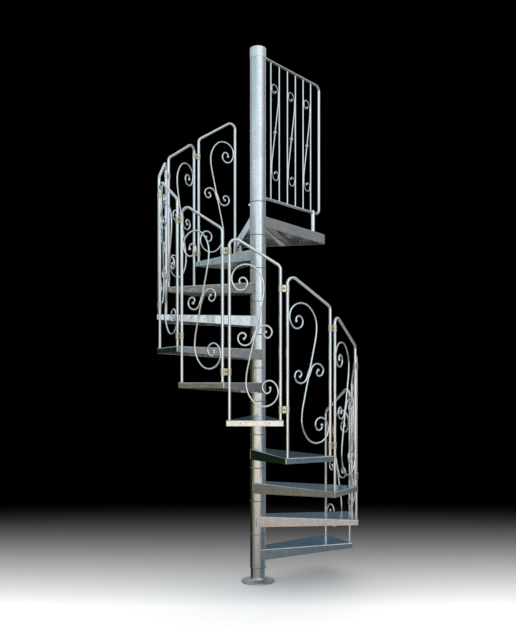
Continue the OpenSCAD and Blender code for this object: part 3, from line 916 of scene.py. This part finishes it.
def side_scroll():
    """Small scroll that leaves the stem's side a little off its middle and curls the other way. Its
    start is drawn out thin and laid along the stem, so that it seems to grow out of it."""
    heading = 90 - STEM_TILT
    start = (2 * SCROLL_R + WELD_GAP) * across(heading) - SIDE_SCROLL_AT * along(heading)
    path = trace(start, heading - 180, [(share * SIDE_SCROLL_R, turn) for share, turn in SIDE_CURLS])
    points, headings, radii = balled(*path, SCROLL_R, BALL_R)
    thin = np.linspace(LEAD_TIP, 1.0, LEAD_ROWS + 1)[:-1]
    lead = start + np.outer(1 - thin, LEAD_L * along(heading) - SCROLL_R * across(heading))
    return (np.vstack([lead, points]), np.concatenate([np.full(LEAD_ROWS, heading - 180), headings]),
            np.concatenate([SCROLL_R * thin, radii]))


half = scroll_half()
twig = side_scroll()
twin = (-twig[0], twig[1] + 180, twig[2])
scroll_bars = [bar(*mirrored_path(*half)), bar(*twig), bar(*twin)]
panel_shells = [skin(frame_tube())] + [skin(rings + [0, 0, SCROLL_H]) for rings in scroll_bars]
panel_points, panel_faces = joined(panel_shells)
print("panel:", len(panel_points), "points; scroll from", round(half[0][:, 1].min() + SCROLL_H, 3), "to",
      round(half[0][:, 1].max() + SCROLL_H, 3))

# %% [markdown]
# The ten panels are alike, so the points of one are turned and lifted to each tread.

# %% Ten railing panels
for k, name in enumerate(PANELS, start=1):
    points = placed(panel_points, step_az(k), LEG_X, step_z(k))
    piece(name.replace("rail_panel", "scroll_panel"), points, panel_faces, BAR_ZINC, "railing_bar", [name])

# %% [markdown]
# ## Clips
#
# A clip ties the leg of one panel to the leg of the next: two collars with a web between them, and
# a bolt through the web. Its plan is a closed path of straight webs, small fillets and two round
# collars, so the path function draws it too. Rows of that outline, inset at both ends, ease the
# upper and lower edges.

# %% One clip
CLIP_H = 0.042
CLIP_WALL = 0.003
CLIP_COLLAR_R = LEG_R + WELD_GAP + CLIP_WALL
CLIP_WEB = 0.0045
CLIP_FILLET = 0.004
CLIP_EASE = 0.0012
half_step = math.radians(STEP_ANGLE / 2)
clip_gap = 2 * LEG_REACH * math.sin(half_step - LEG_TURN)
clip_reach = LEG_REACH * math.cos(half_step - LEG_TURN)


def clip_outline(inset):
    """Plan of a clip, inset from its edge: web, fillet, collar, fillet, and the same on the way back."""
    collar, fillet, web = CLIP_COLLAR_R - inset, CLIP_FILLET + inset, CLIP_WEB - inset
    foot = math.sqrt((collar + fillet) ** 2 - (web + fillet) ** 2)
    turn = math.degrees(math.atan2(foot, web + fillet))
    run = clip_gap - 2 * foot
    side = [(run, 0), (fillet, turn), (collar, -180 - 2 * turn), (fillet, turn)]
    points, _ = trace((-run / 2, web), 0, side + side)
    return points[:-1]


def clip_shell():
    """Clip about the origin: rows (inset, z) of its outline, with its legs' line along y."""
    t = np.radians(np.linspace(0, 90, 5))
    ease = [(CLIP_EASE * (1 - math.sin(a)), CLIP_H / 2 - CLIP_EASE * (1 - math.cos(a))) for a in t]
    ease.append((0.0, ease[-1][1] - HOLD))
    rows = [(inset, -z) for inset, z in ease] + [(inset, z) for inset, z in ease[::-1]]
    outlines = [(clip_outline(inset), z) for inset, z in rows]
    rings = [np.column_stack([plan[:, 1], plan[:, 0], np.full(len(plan), z)]) for plan, z in outlines]
    return skin(np.stack(rings))


clip_points, clip_faces = clip_shell()
print("clip:", len(clip_points), "points, legs", round(clip_gap, 4), "apart")

# %% [markdown]
# Neighbouring panels are clipped together twice, near the foot and near the rail. One more clip
# ties the last panel to the leg under the landing.

# %% Clips in their places
CLIP_LOW, CLIP_HIGH = 0.064, 0.800
joints = range(1, len(TREADS))
upper_spots = [(step_az(k) - STEP_ANGLE / 2, step_z(k + 1) + CLIP_HIGH) for k in joints]
lower_spots = [(step_az(k) - STEP_ANGLE / 2, step_z(k + 1) + CLIP_LOW) for k in joints]
lower_spots += [(step_az(len(TREADS)) - STEP_ANGLE / 2, LANDING_Z - LANDING_RIM - CLIP_H)]


def at_clips(points, faces, spots):
    """Copies of a shell at clip places, each an (azimuth, height) pair."""
    return joined([(placed(points, azimuth, clip_reach, z), faces) for azimuth, z in spots])


upper_clips = at_clips(clip_points, clip_faces, upper_spots)
lower_clips = at_clips(clip_points, clip_faces, lower_spots)
piece("clips_upper", *upper_clips, CLIP_ZINC, "clip_plate", ["upper_clips"])
piece("clips_lower", *lower_clips, CLIP_ZINC, "clip_plate", ["lower_clips"])

# %% [markdown]
# The bolt through each web has a washer and a hexagon head outside, and a nut inside. A hexagon is
# a circle whose radius depends on the angle, so head, washer and nut are rows of one grid.

# %% Clip bolts
BOLT_FLAT = 0.005
BOLT_HEAD_H = 0.0055
BOLT_CHAMFER = 0.0008
WASHER_R = 0.0062
WASHER_T = 0.0014
WASHER_EASE = 0.0004
WASHER_RIM, HEAD_RIM, HEAD_TIP = 0.97, 1.02, 0.2
TIP_RISE = 0.0001


def hexagon(angle, apothem):
    """Radius of a hexagon at an angle: apothem / cos(angle to the nearest flat's middle)."""
    sector = math.pi / 3
    return apothem / np.cos((angle + sector / 2) % sector - sector / 2)


def bolt_head(head_h, sides=36):
    """Washer and hexagon head on the plane z = 0, with a chamfered top."""
    a = np.linspace(0, 2 * np.pi, sides, endpoint=False)
    washer, hexa = np.full(sides, WASHER_R), hexagon(a, BOLT_FLAT)
    crown = np.minimum(hexa, BOLT_FLAT * HEAD_RIM)
    rows = [(washer, 0.0), (washer, WASHER_T - WASHER_EASE), (washer * WASHER_RIM, WASHER_T),
            (hexa, WASHER_T), (hexa, head_h - BOLT_CHAMFER), (crown, head_h),
            (crown * HEAD_TIP, head_h + TIP_RISE)]
    rings = [np.stack([r * np.cos(a), r * np.sin(a), np.full(sides, z)], axis=-1) for r, z in rows]
    return skin(np.stack(rings))


head, head_faces = bolt_head(BOLT_HEAD_H)
outside = np.stack([head[:, 2] + CLIP_WEB, head[:, 0], head[:, 1]], axis=-1)
inside_nut = np.stack([-head[:, 2] - CLIP_WEB, -head[:, 0], head[:, 1]], axis=-1)
bolt_pair = joined([(outside, head_faces), (inside_nut, head_faces)])
piece("clip_bolts", *at_clips(*bolt_pair, upper_spots + lower_spots), BOLT_ZINC, "clip_plate")

# %% [markdown]
# ## The landing guard
#
# The guard is one tube that leaves the newel post, bends down and returns, with six upright bars.
# Slim scrolls with a bead in the middle stand between the bars. The bead swells out of the bar, so
# it is only a change of radius along the path.

# %% Guard tube and bars
GUARD_H = 1.128
GUARD_LOW = 0.145
GUARD_R = 0.009
GUARD_REACH = 0.743
GUARD_INSET = 0.020
GUARD_BAR_R = 0.0045
GUARD_BAR_START = 0.1445
GUARD_PITCH = 0.0976
GUARD_BARS = 6
GUARD_LEG_R = 0.0135
GUARD_LEG_AT = 0.664
GUARD_SINK = 0.001
guard_az = LANDING_AZ - math.degrees(flare(LANDING_REACH, LANDING_W)
                                     + math.asin((RIM_TANGENT_R - GUARD_INSET) / GUARD_LEG_AT))
guard_bar_y = GUARD_BAR_START + GUARD_PITCH * np.arange(GUARD_BARS)
guard_side = GUARD_REACH - RAIL_BEND
guard_path = trace((cap_r - GUARD_SINK, GUARD_H), 0, [
    (guard_side - cap_r + GUARD_SINK, 0), (RAIL_BEND, -90), (GUARD_H - GUARD_LOW - 2 * RAIL_BEND, 0),
    (RAIL_BEND, -90), (guard_side - SLEEVE_R + GUARD_SINK, 0)])
upright_heading = np.array([90.0, 90.0])
uprights = [bar(np.array([(y, GUARD_LOW), (y, GUARD_H)]), upright_heading, GUARD_BAR_R) for y in guard_bar_y]
guard_shells = [skin(bar(*guard_path, GUARD_R, sides=24))] + [skin(rings) for rings in uprights]
guard_points, guard_faces = joined(guard_shells)
guard_points = placed(guard_points, guard_az - 90, z=LANDING_Z)
piece("guard_frame", guard_points, guard_faces, BAR_ZINC, "railing_bar", ["guard_panel"])

# %% [markdown]
# A guard scroll fills every second gap between the bars: it leans from bar to bar and hooks over
# at both ends. Its sizes are shares of the gap, so that it always touches the bars on both sides.

# %% Guard scrolls
GUARD_SCROLL_R = 0.004
GUARD_SCROLL_H = 0.636
GUARD_SCROLL_RISE = 0.281
HOOK_TURN = 35.0
LEAN_GAIN, LEAN_RISE = 1.08, 0.9
HOOK_START, HOOK_RUN, HOOK_CURL, HOOK_END = 1.5, 0.3, 0.7, 0.43
HOOK_BALL = 0.85
BEAD_R = 0.012
BEAD_ROWS = 46
COLLAR_R, COLLAR_AT, COLLAR_HALF = 0.68, 1.8, 0.42


def guard_scroll_half():
    """Half of a guard scroll: a run that leans to the right bar, a bend upright along it, and a hook
    over to the left bar, as wide as the gap: its radius is what the run-in and the lean leave."""
    reach = GUARD_PITCH / 2 - GUARD_BAR_R - GUARD_SCROLL_R - WELD_GAP
    tilt = LEAN_GAIN * math.atan2(reach, LEAN_RISE * GUARD_SCROLL_RISE)
    run = (reach - STEM_BEND * (1 - math.cos(tilt))) / math.sin(tilt)
    level = run * math.cos(tilt) + STEM_BEND * math.sin(tilt)
    hook = math.radians(HOOK_TURN)
    lost = HOOK_START * (1 - math.cos(hook)) + HOOK_RUN * math.sin(hook)
    hook_r = reach * (2 - lost) / (1 + math.cos(hook))
    lean = 90 - math.degrees(tilt)
    path = trace((0, 0), lean, [
        (run, 0), (STEM_BEND, 90 - lean), (max(0.001, GUARD_SCROLL_RISE - level), 0),
        (HOOK_START * reach, HOOK_TURN), (HOOK_RUN * reach, 0), (hook_r, 180 - HOOK_TURN),
        (HOOK_CURL * reach, 90), (HOOK_END * reach, 60)])
    points, headings, radii = balled(*path, GUARD_SCROLL_R, BALL_R * HOOK_BALL)
    swell = np.linspace(0, 3 * BEAD_R, BEAD_ROWS)
    points = np.vstack([swell[:, None] * along(lean), points[1:]])
    headings = np.concatenate([np.full(len(swell), lean), headings[1:]])
    return points, headings, np.concatenate([bead_radius(swell), radii[1:]])


def bead_radius(s):
    """Radius at a distance s from a bead's middle: a ball, then a small collar, then the plain bar."""
    ball = np.sqrt(np.clip(BEAD_R**2 - s**2, 0, None))
    off = (s - COLLAR_AT * BEAD_R) / (COLLAR_HALF * BEAD_R)
    collar_r = COLLAR_R * BEAD_R * np.sqrt(np.clip(1 - off**2, 0, None))
    return np.maximum(np.maximum(ball, collar_r), GUARD_SCROLL_R)


slim = bar(*mirrored_path(*guard_scroll_half()), sides=14)
middles = guard_bar_y[::2] + GUARD_PITCH / 2
slim_points, slim_faces = joined([skin(slim + [0, y, GUARD_SCROLL_H]) for y in middles])
slim_points = placed(slim_points, guard_az - 90, z=LANDING_Z)
piece("guard_scrollwork", slim_points, slim_faces, BAR_ZINC, "railing_bar", ["guard_scrolls"])

# %% [markdown]
# One stout leg with a domed top carries the guard's bottom rail at its outer end. It is a turned
# part: a straight side and a quarter circle.

# %% Guard leg
dome = np.radians(np.linspace(0, 84, 10))
dome_z = GUARD_LOW + GUARD_LEG_R / 2
dome_rows = np.stack([GUARD_LEG_R * np.cos(dome), dome_z + GUARD_LEG_R * np.sin(dome)], axis=-1)
leg, leg_faces = lathe(np.vstack([[(GUARD_LEG_R, 0.0)], dome_rows]), closed=False, sides=40)
leg = placed(leg + [0, GUARD_LEG_AT, 0], guard_az - 90, z=LANDING_Z)
piece("guard_post", leg, leg_faces, BAR_ZINC, "railing_bar", ["guard_leg"])

# %% [markdown]
# ## Welds
#
# The legs, scrolls and rims are welded before the piece goes into the zinc bath. A weld round a leg
# is a quarter round whose size swells and shrinks as the pool was moved on. A weld along a seam is
# a long bead with the same ripple. Both are grids of a few rings, duller than the bars.

# %% Weld beads
FOOT_WELD, POST_WELD = 0.003, 0.0035
TOUCH_WELD, TOUCH_WELD_L = 0.0042, 0.026
HUB_WELD = 0.0026
RING_RIPPLE, SEAM_RIPPLE = 0.12, 0.1
SEAM_END = 0.98


def ring_weld(bar_r, size, ripples=11, sides=44):
    """Weld round an upright bar: radius r + b cos t and height b sin t, where b is the size times
    1 + ripple · cos na."""
    a = np.linspace(0, 2 * np.pi, sides, endpoint=False)
    b = size * (1 + RING_RIPPLE * np.cos(ripples * a))
    t = np.radians(np.linspace(0, 90, 5))[:, None]
    r = bar_r + b * np.cos(t)
    return skin(np.stack([r * np.cos(a), r * np.sin(a), b * np.sin(t)], axis=-1))


def seam_weld(length, size, ripples=7, sides=10):
    """Weld along an upright seam: a bead of radius size · sqrt(1 - s²) (1 + ripple · cos πns), where
    s runs from -1 to 1."""
    s = np.linspace(-SEAM_END, SEAM_END, 31)
    r = size * np.sqrt(1 - s**2) * (1 + SEAM_RIPPLE * np.cos(ripples * np.pi * s))
    return lathe(np.stack([r, length / 2 * s], axis=-1), closed=False, sides=sides)


foot, foot_faces = ring_weld(LEG_R, FOOT_WELD)
touch, touch_faces = seam_weld(TOUCH_WELD_L, TOUCH_WELD)
contact = half[0][np.argmax(np.abs(half[0][:, 0]))]
contact_y = math.copysign(LEG_Y - LEG_R, contact[0])
panel_welds = [(foot + [0, side * LEG_Y, 0], foot_faces) for side in (-1, 1)]
panel_welds += [(touch + [0, side * contact_y, SCROLL_H + side * contact[1]], touch_faces)
                for side in (-1, 1)]
weld_shells = [(placed(points, step_az(k), LEG_X, step_z(k)), faces)
               for k in range(1, len(TREADS) + 1) for points, faces in panel_welds]
piece("panel_welds", *joined(weld_shells), WELD_AND_SEAM_SHADE_ZINC, "railing_bar")

# %% [markdown]
# The side rims of every pan are welded to their sleeve, and the guard's leg to the landing. The
# same two beads serve, placed with the sizes of the pans. The dark seam beads at the hub are partly
# painted shade: they also stand for the shadow line at the cut end of each rim.

# %% Welds at the hub
def hub_welds_and_shade_lines(reach, width, depth):
    """The two seam welds of a pan's rims at the hub, with the pan's top at z = 0; their dark zinc also
    stands for the painted shadow line at each rim's cut end.
    """
    turn = flare(reach, width)
    x, y = -RIM_TANGENT_R * math.sin(turn), RIM_TANGENT_R * math.cos(turn)
    points, faces = seam_weld(depth - FOLD_R, HUB_WELD)
    return [(points + [x, side * y, -(depth + FOLD_R) / 2], faces) for side in (-1, 1)]


seams = [(placed(points, step_az(k), z=step_z(k)), faces)
         for k in range(1, len(TREADS) + 1) for points, faces in hub_welds_and_shade_lines(TREAD_REACH, TREAD_W, RIM_HUB)]
seams += [(placed(points, LANDING_AZ, z=LANDING_Z), faces)
          for points, faces in hub_welds_and_shade_lines(LANDING_REACH, LANDING_W, LANDING_RIM)]
post_weld, post_weld_faces = ring_weld(GUARD_LEG_R, POST_WELD)
seams.append((placed(post_weld + [0, GUARD_LEG_AT, 0], guard_az - 90, z=LANDING_Z), post_weld_faces))
piece("hub_welds_and_shade_lines", *joined(seams), WELD_AND_SEAM_SHADE_ZINC, "tread_sheet")

# %% [markdown]
# One bright screw locks the newel post to the pole, just under its joint. Its head shows at the
# left edge of the column. It is the clips' bolt head, made larger.

# %% Newel screw
SCREW_AZ = 190.0
SCREW_SCALE = 1.5
SCREW_HEAD_H = 0.0075
SCREW_DROP = 0.014
SCREW_SINK = 0.001
screw, screw_faces = bolt_head(SCREW_HEAD_H)
screw = SCREW_SCALE * np.stack([screw[:, 2], screw[:, 0], screw[:, 1]], axis=-1)
screw = placed(screw, SCREW_AZ, SLEEVE_R - SCREW_SINK, hub_starts[-1] - SCREW_DROP)
piece("newel_screw", screw, screw_faces, BAR_ZINC, "column_tube")

# %% [markdown]
# ## The floor
#
# The stair stands on a plain pale floor that fades to dark behind it, so that the bright bars stand
# out. The fade is painted light: a pool of light painted into the floor's colour, which follows the
# depth and the distance from the column. A small glow that only camera rays see lifts the pale part,
# so that no more light falls on the stair. The floor takes the stair's shadow, but the metal doesn't
# mirror it: darker ground is painted on the world for that, because the metal near the floor would
# look too bright otherwise.

# %% Floor
FLOOR_R = 7.0
FLOOR_Z = -0.0005
FLOOR_ROWS, FLOOR_SIDES = 24, 96
r = np.linspace(0.01, FLOOR_R, FLOOR_ROWS)
a = np.linspace(0, 2 * np.pi, FLOOR_SIDES, endpoint=False)
flat = np.full((FLOOR_ROWS, FLOOR_SIDES), FLOOR_Z)
floor_rings = np.stack([np.outer(r, np.cos(a)), np.outer(r, np.sin(a)), flat], axis=-1)
floor_mesh = bpy.data.meshes.new("floor")
floor_mesh.from_pydata(floor_rings.reshape(-1, 3).tolist(), [], skin(floor_rings)[1][:-1])
floor = bpy.data.objects.new("floor", floor_mesh)
bpy.context.scene.collection.objects.link(floor)
floor.visible_glossy = False
print("floor radius", FLOOR_R)

# %% Floor paint
FADE_START, FADE_END, FADE_POWER = -0.6, 3.94, 3.5
VEIL_START, VEIL_END = 2.7, 6.2
# Painted shadow under the flange: the floor is nearly black there, ending just inside the flange's edge, so
# that the anchor holes look dark.
FLANGE_SHADOW_FULL, FLANGE_SHADOW_GONE = 0.012, 0.004
PALE_LOW, PALE_HIGH = (0.90, 0.860, 0.829, 1), (0.96, 0.918, 0.886, 1)
PAINTED_FLANGE_SHADOW = (0.02, 0.02, 0.02, 1)
DARK = (0.0, 0.0, 0.0, 1)
FLOOR_LIFT = 0.27
floor_paint = bpy.data.materials.new("floor_paint")
floor_paint.use_nodes = True
tree = floor_paint.node_tree
tree.nodes.remove(tree.nodes["Principled BSDF"])
matt = add_node(tree, "ShaderNodeBsdfDiffuse")
lifted = add_node(tree, "ShaderNodeEmission")
both = add_node(tree, "ShaderNodeAddShader", {0: matt.outputs[0], 1: lifted.outputs[0]})
tree.links.new(both.outputs[0], tree.nodes["Material Output"].inputs["Surface"])
where = add_node(tree, "ShaderNodeTexCoord").outputs["Object"]
# Painted light: the floor's colour is a pool of light that falls off to dark with the depth behind the
# column, and at its rim with the distance from the column.
away = (-math.sin(view_az), math.cos(view_az), 0)
depth = add_node(tree, "ShaderNodeVectorMath", {0: where, 1: away}, operation="DOT_PRODUCT").outputs["Value"]
painted_light_pool = math_node(tree, "POWER", remap(tree, depth, FADE_START, FADE_END, 1.0, 0.0), FADE_POWER)
grain = add_node(tree, "ShaderNodeTexNoise", {"Vector": where, "Scale": 3.0, "Detail": 3.0}).outputs[0]
pale = blend_colour(tree, grain, PALE_LOW, PALE_HIGH)
reach = add_node(tree, "ShaderNodeVectorMath", {0: where}, operation="LENGTH").outputs["Value"]
light_pool_edge = remap(tree, reach, VEIL_START, VEIL_END, 1.0, 0.0, "SMOOTHSTEP")
painted_light_pool = math_node(tree, "MULTIPLY", painted_light_pool, light_pool_edge)
# Painted shadow: the floor's colour turns nearly black under the flange.
painted_flange_shadow = remap(tree, reach, flange_r - FLANGE_SHADOW_FULL, flange_r - FLANGE_SHADOW_GONE, 1.0, 0.0)
pale = blend_colour(tree, painted_flange_shadow, pale, PAINTED_FLANGE_SHADOW)
tree.links.new(blend_colour(tree, painted_light_pool, DARK, pale), matt.inputs["Color"])
seen = add_node(tree, "ShaderNodeLightPath").outputs["Is Camera Ray"]
lift = math_node(tree, "MULTIPLY", math_node(tree, "MULTIPLY", painted_light_pool, seen), FLOOR_LIFT)
# No camera glow where the painted flange shadow lies.
lift = math_node(tree, "MULTIPLY", lift, math_node(tree, "SUBTRACT", 1.0, painted_flange_shadow))
tree.links.new(lift, lifted.inputs["Strength"])
floor_mesh.materials.append(floor_paint)
print("floor fades from", FADE_START, "to", FADE_END, "metres behind the column")

# %% [markdown]
# ## The light
#
# Metal is what it mirrors, so the studio matters as much as the finish. A pale dome over a dark
# horizon and a grey ground is painted on the world. Bright panels and dark cards on it, with soft
# edges, draw the stripes on the column and give each tread its own tone. Area lamps could be the
# panels, but not the dark cards, and a painted card is one line. Camera rays see none of it, so the
# backdrop stays dark.

# %% World
HORIZON = (0.10, 0.12, 0.13, 1)
BANDS = {
    "dome": (0.02, 0.30, (0.82, 1.00, 1.12, 1)),
    "zenith": (0.45, 0.75, (0.62, 0.68, 0.75, 1)),
    "ground": (-0.04, -0.30, (0.36, 0.37, 0.37, 1)),
    "nadir": (-0.35, -0.75, (0.58, 0.55, 0.53, 1)),
}
world = bpy.data.worlds.new("studio")
bpy.context.scene.world = world
world.use_nodes = True
tree = world.node_tree
sky = tree.nodes["Background"]
sight = add_node(tree, "ShaderNodeTexCoord").outputs["Generated"]
look = add_node(tree, "ShaderNodeVectorMath", {0: sight}, operation="NORMALIZE").outputs[0]
height = add_node(tree, "ShaderNodeSeparateXYZ", {0: look}).outputs["Z"]
level = add_node(tree, "ShaderNodeVectorMath", {0: look, 1: (1, 1, 0)}, operation="MULTIPLY").outputs[0]
level = add_node(tree, "ShaderNodeVectorMath", {0: level}, operation="NORMALIZE").outputs[0]
light = HORIZON
for start, full, colour in BANDS.values():
    light = blend_colour(tree, remap(tree, height, start, full, 0.0, 1.0, "SMOOTHSTEP"), light, colour)
print("world bands:", list(BANDS))


# %% Panels and cards
def panel_mask(bearing, inner, outer, bottom, top, soft):
    """Soft panel: full within inner degrees of a bearing from the camera's side and gone at outer, and
    between two heights given as sines of the elevation."""
    angle = math.radians(CAMERA_AZ - 90 + bearing)
    facing = add_node(tree, "ShaderNodeVectorMath", {0: level, 1: (math.cos(angle), math.sin(angle), 0)},
                      operation="DOT_PRODUCT").outputs["Value"]
    edges = math.cos(math.radians(outer)), math.cos(math.radians(inner))
    wide = remap(tree, facing, *edges, 0.0, 1.0, "SMOOTHSTEP")
    above = remap(tree, height, bottom - soft, bottom + soft, 0.0, 1.0, "SMOOTHSTEP")
    below = remap(tree, height, top - soft, top + soft, 1.0, 0.0, "SMOOTHSTEP")
    return math_node(tree, "MULTIPLY", wide, math_node(tree, "MULTIPLY", above, below))


# Each has its bearing, the half widths in degrees where it is full and where it is gone, its bottom,
# its top and their softness as sines of the elevation, and its colour.
PANELS_OF_LIGHT = {
    "grey card, behind on the left": (-125, 22, 40, 0.10, 0.60, 0.06, (0.42, 0.50, 0.55, 1)),
    "black card, behind on the left": (-135, 38, 60, -0.40, 0.12, 0.05, (0.012, 0.024, 0.012, 1)),
    "wide panel in front": (-6, 34, 78, 0.12, 0.72, 0.06, (0.98, 1.14, 1.23, 1)),
    "high panel on the left": (-52, 22, 44, 0.36, 0.80, 0.08, (0.48, 0.60, 0.65, 1)),
    "low panel in front": (12, 22, 46, 0.02, 0.20, 0.05, (1.05, 1.15, 1.19, 1)),
    "dim card on the left": (-62, 22, 38, -0.20, 0.20, 0.06, (0.23, 0.22, 0.17, 1)),
    "low card on the right": (72, 24, 44, -0.50, -0.03, 0.04, (0.13, 0.17, 0.20, 1)),
    "grey card on the right": (96, 30, 48, -0.03, 0.75, 0.05, (0.33, 0.33, 0.34, 1)),
    "high panel on the right": (66, 12, 30, 0.24, 0.72, 0.06, (0.72, 0.74, 0.77, 1)),
    "low warm panel in front": (-14, 22, 50, -0.20, -0.13, 0.02, (0.74, 0.61, 0.53, 1)),
    "bright warm panel in front": (-6, 24, 54, -0.13, 0.02, 0.03, (1.42, 1.23, 1.06, 1)),
    "yellow panel on the left": (-45, 8, 20, -0.13, 0.02, 0.03, (1.10, 0.98, 0.62, 1)),
    "blue panel, in front on the right": (38, 10, 24, -0.05, 0.50, 0.06, (1.22, 1.42, 1.60, 1)),
    "floor card on the right": (60, 30, 50, -0.62, -0.34, 0.06, (0.03, 0.035, 0.04, 1)),
    "floor card in front": (0, 50, 90, -0.62, -0.25, 0.02, (0.13, 0.13, 0.125, 1)),
    "floor card behind": (180, 70, 110, -0.85, -0.36, 0.06, (0.05, 0.055, 0.055, 1)),
    "high dark card behind": (170, 16, 26, 0.14, 0.42, 0.05, (0.07, 0.135, 0.185, 1)),
    "black card behind": (170, 16, 26, -0.06, 0.13, 0.05, (0.012, 0.03, 0.04, 1)),
}
for *shape, colour in PANELS_OF_LIGHT.values():
    light = blend_colour(tree, panel_mask(*shape), light, colour)
tree.links.new(light, sky.inputs["Color"])
unseen = math_node(tree, "SUBTRACT", 1.0, add_node(tree, "ShaderNodeLightPath").outputs["Is Camera Ray"])
tree.links.new(unseen, sky.inputs["Strength"])
print("studio:", len(PANELS_OF_LIGHT), "panels and cards")

# %% [markdown]
# One wide lamp overhead lights the floor and gives the stair its soft shadow there. Its mirror image
# would burn white on the tops of the treads, so it is hidden from mirror rays and from the camera.
# The Standard view keeps colours as they are written.

# %% Overhead lamp
LAMP_R, LAMP_Z, LAMP_POWER = 3.5, 6.5, 150.0
LAMP_COLOUR = (1.0, 0.88, 0.78)
lamp = bpy.data.objects.new("overhead_lamp", bpy.data.lights.new("overhead_lamp", "AREA"))
lamp.data.shape, lamp.data.size = "DISK", 2 * LAMP_R
lamp.data.energy = LAMP_POWER
lamp.data.color = LAMP_COLOUR
lamp.location = (0, 0, LAMP_Z)
lamp.visible_glossy = False
lamp.visible_camera = False
bpy.context.scene.collection.objects.link(lamp)
bpy.context.scene.view_settings.view_transform = "Standard"
print("lamp", LAMP_POWER, "W at", LAMP_Z, "m")

# %% [markdown]
# Last, the number of triangles in all the pieces is printed.

# %% Triangles, and the end
print("triangles in all:", sum(piece_triangles.values()))
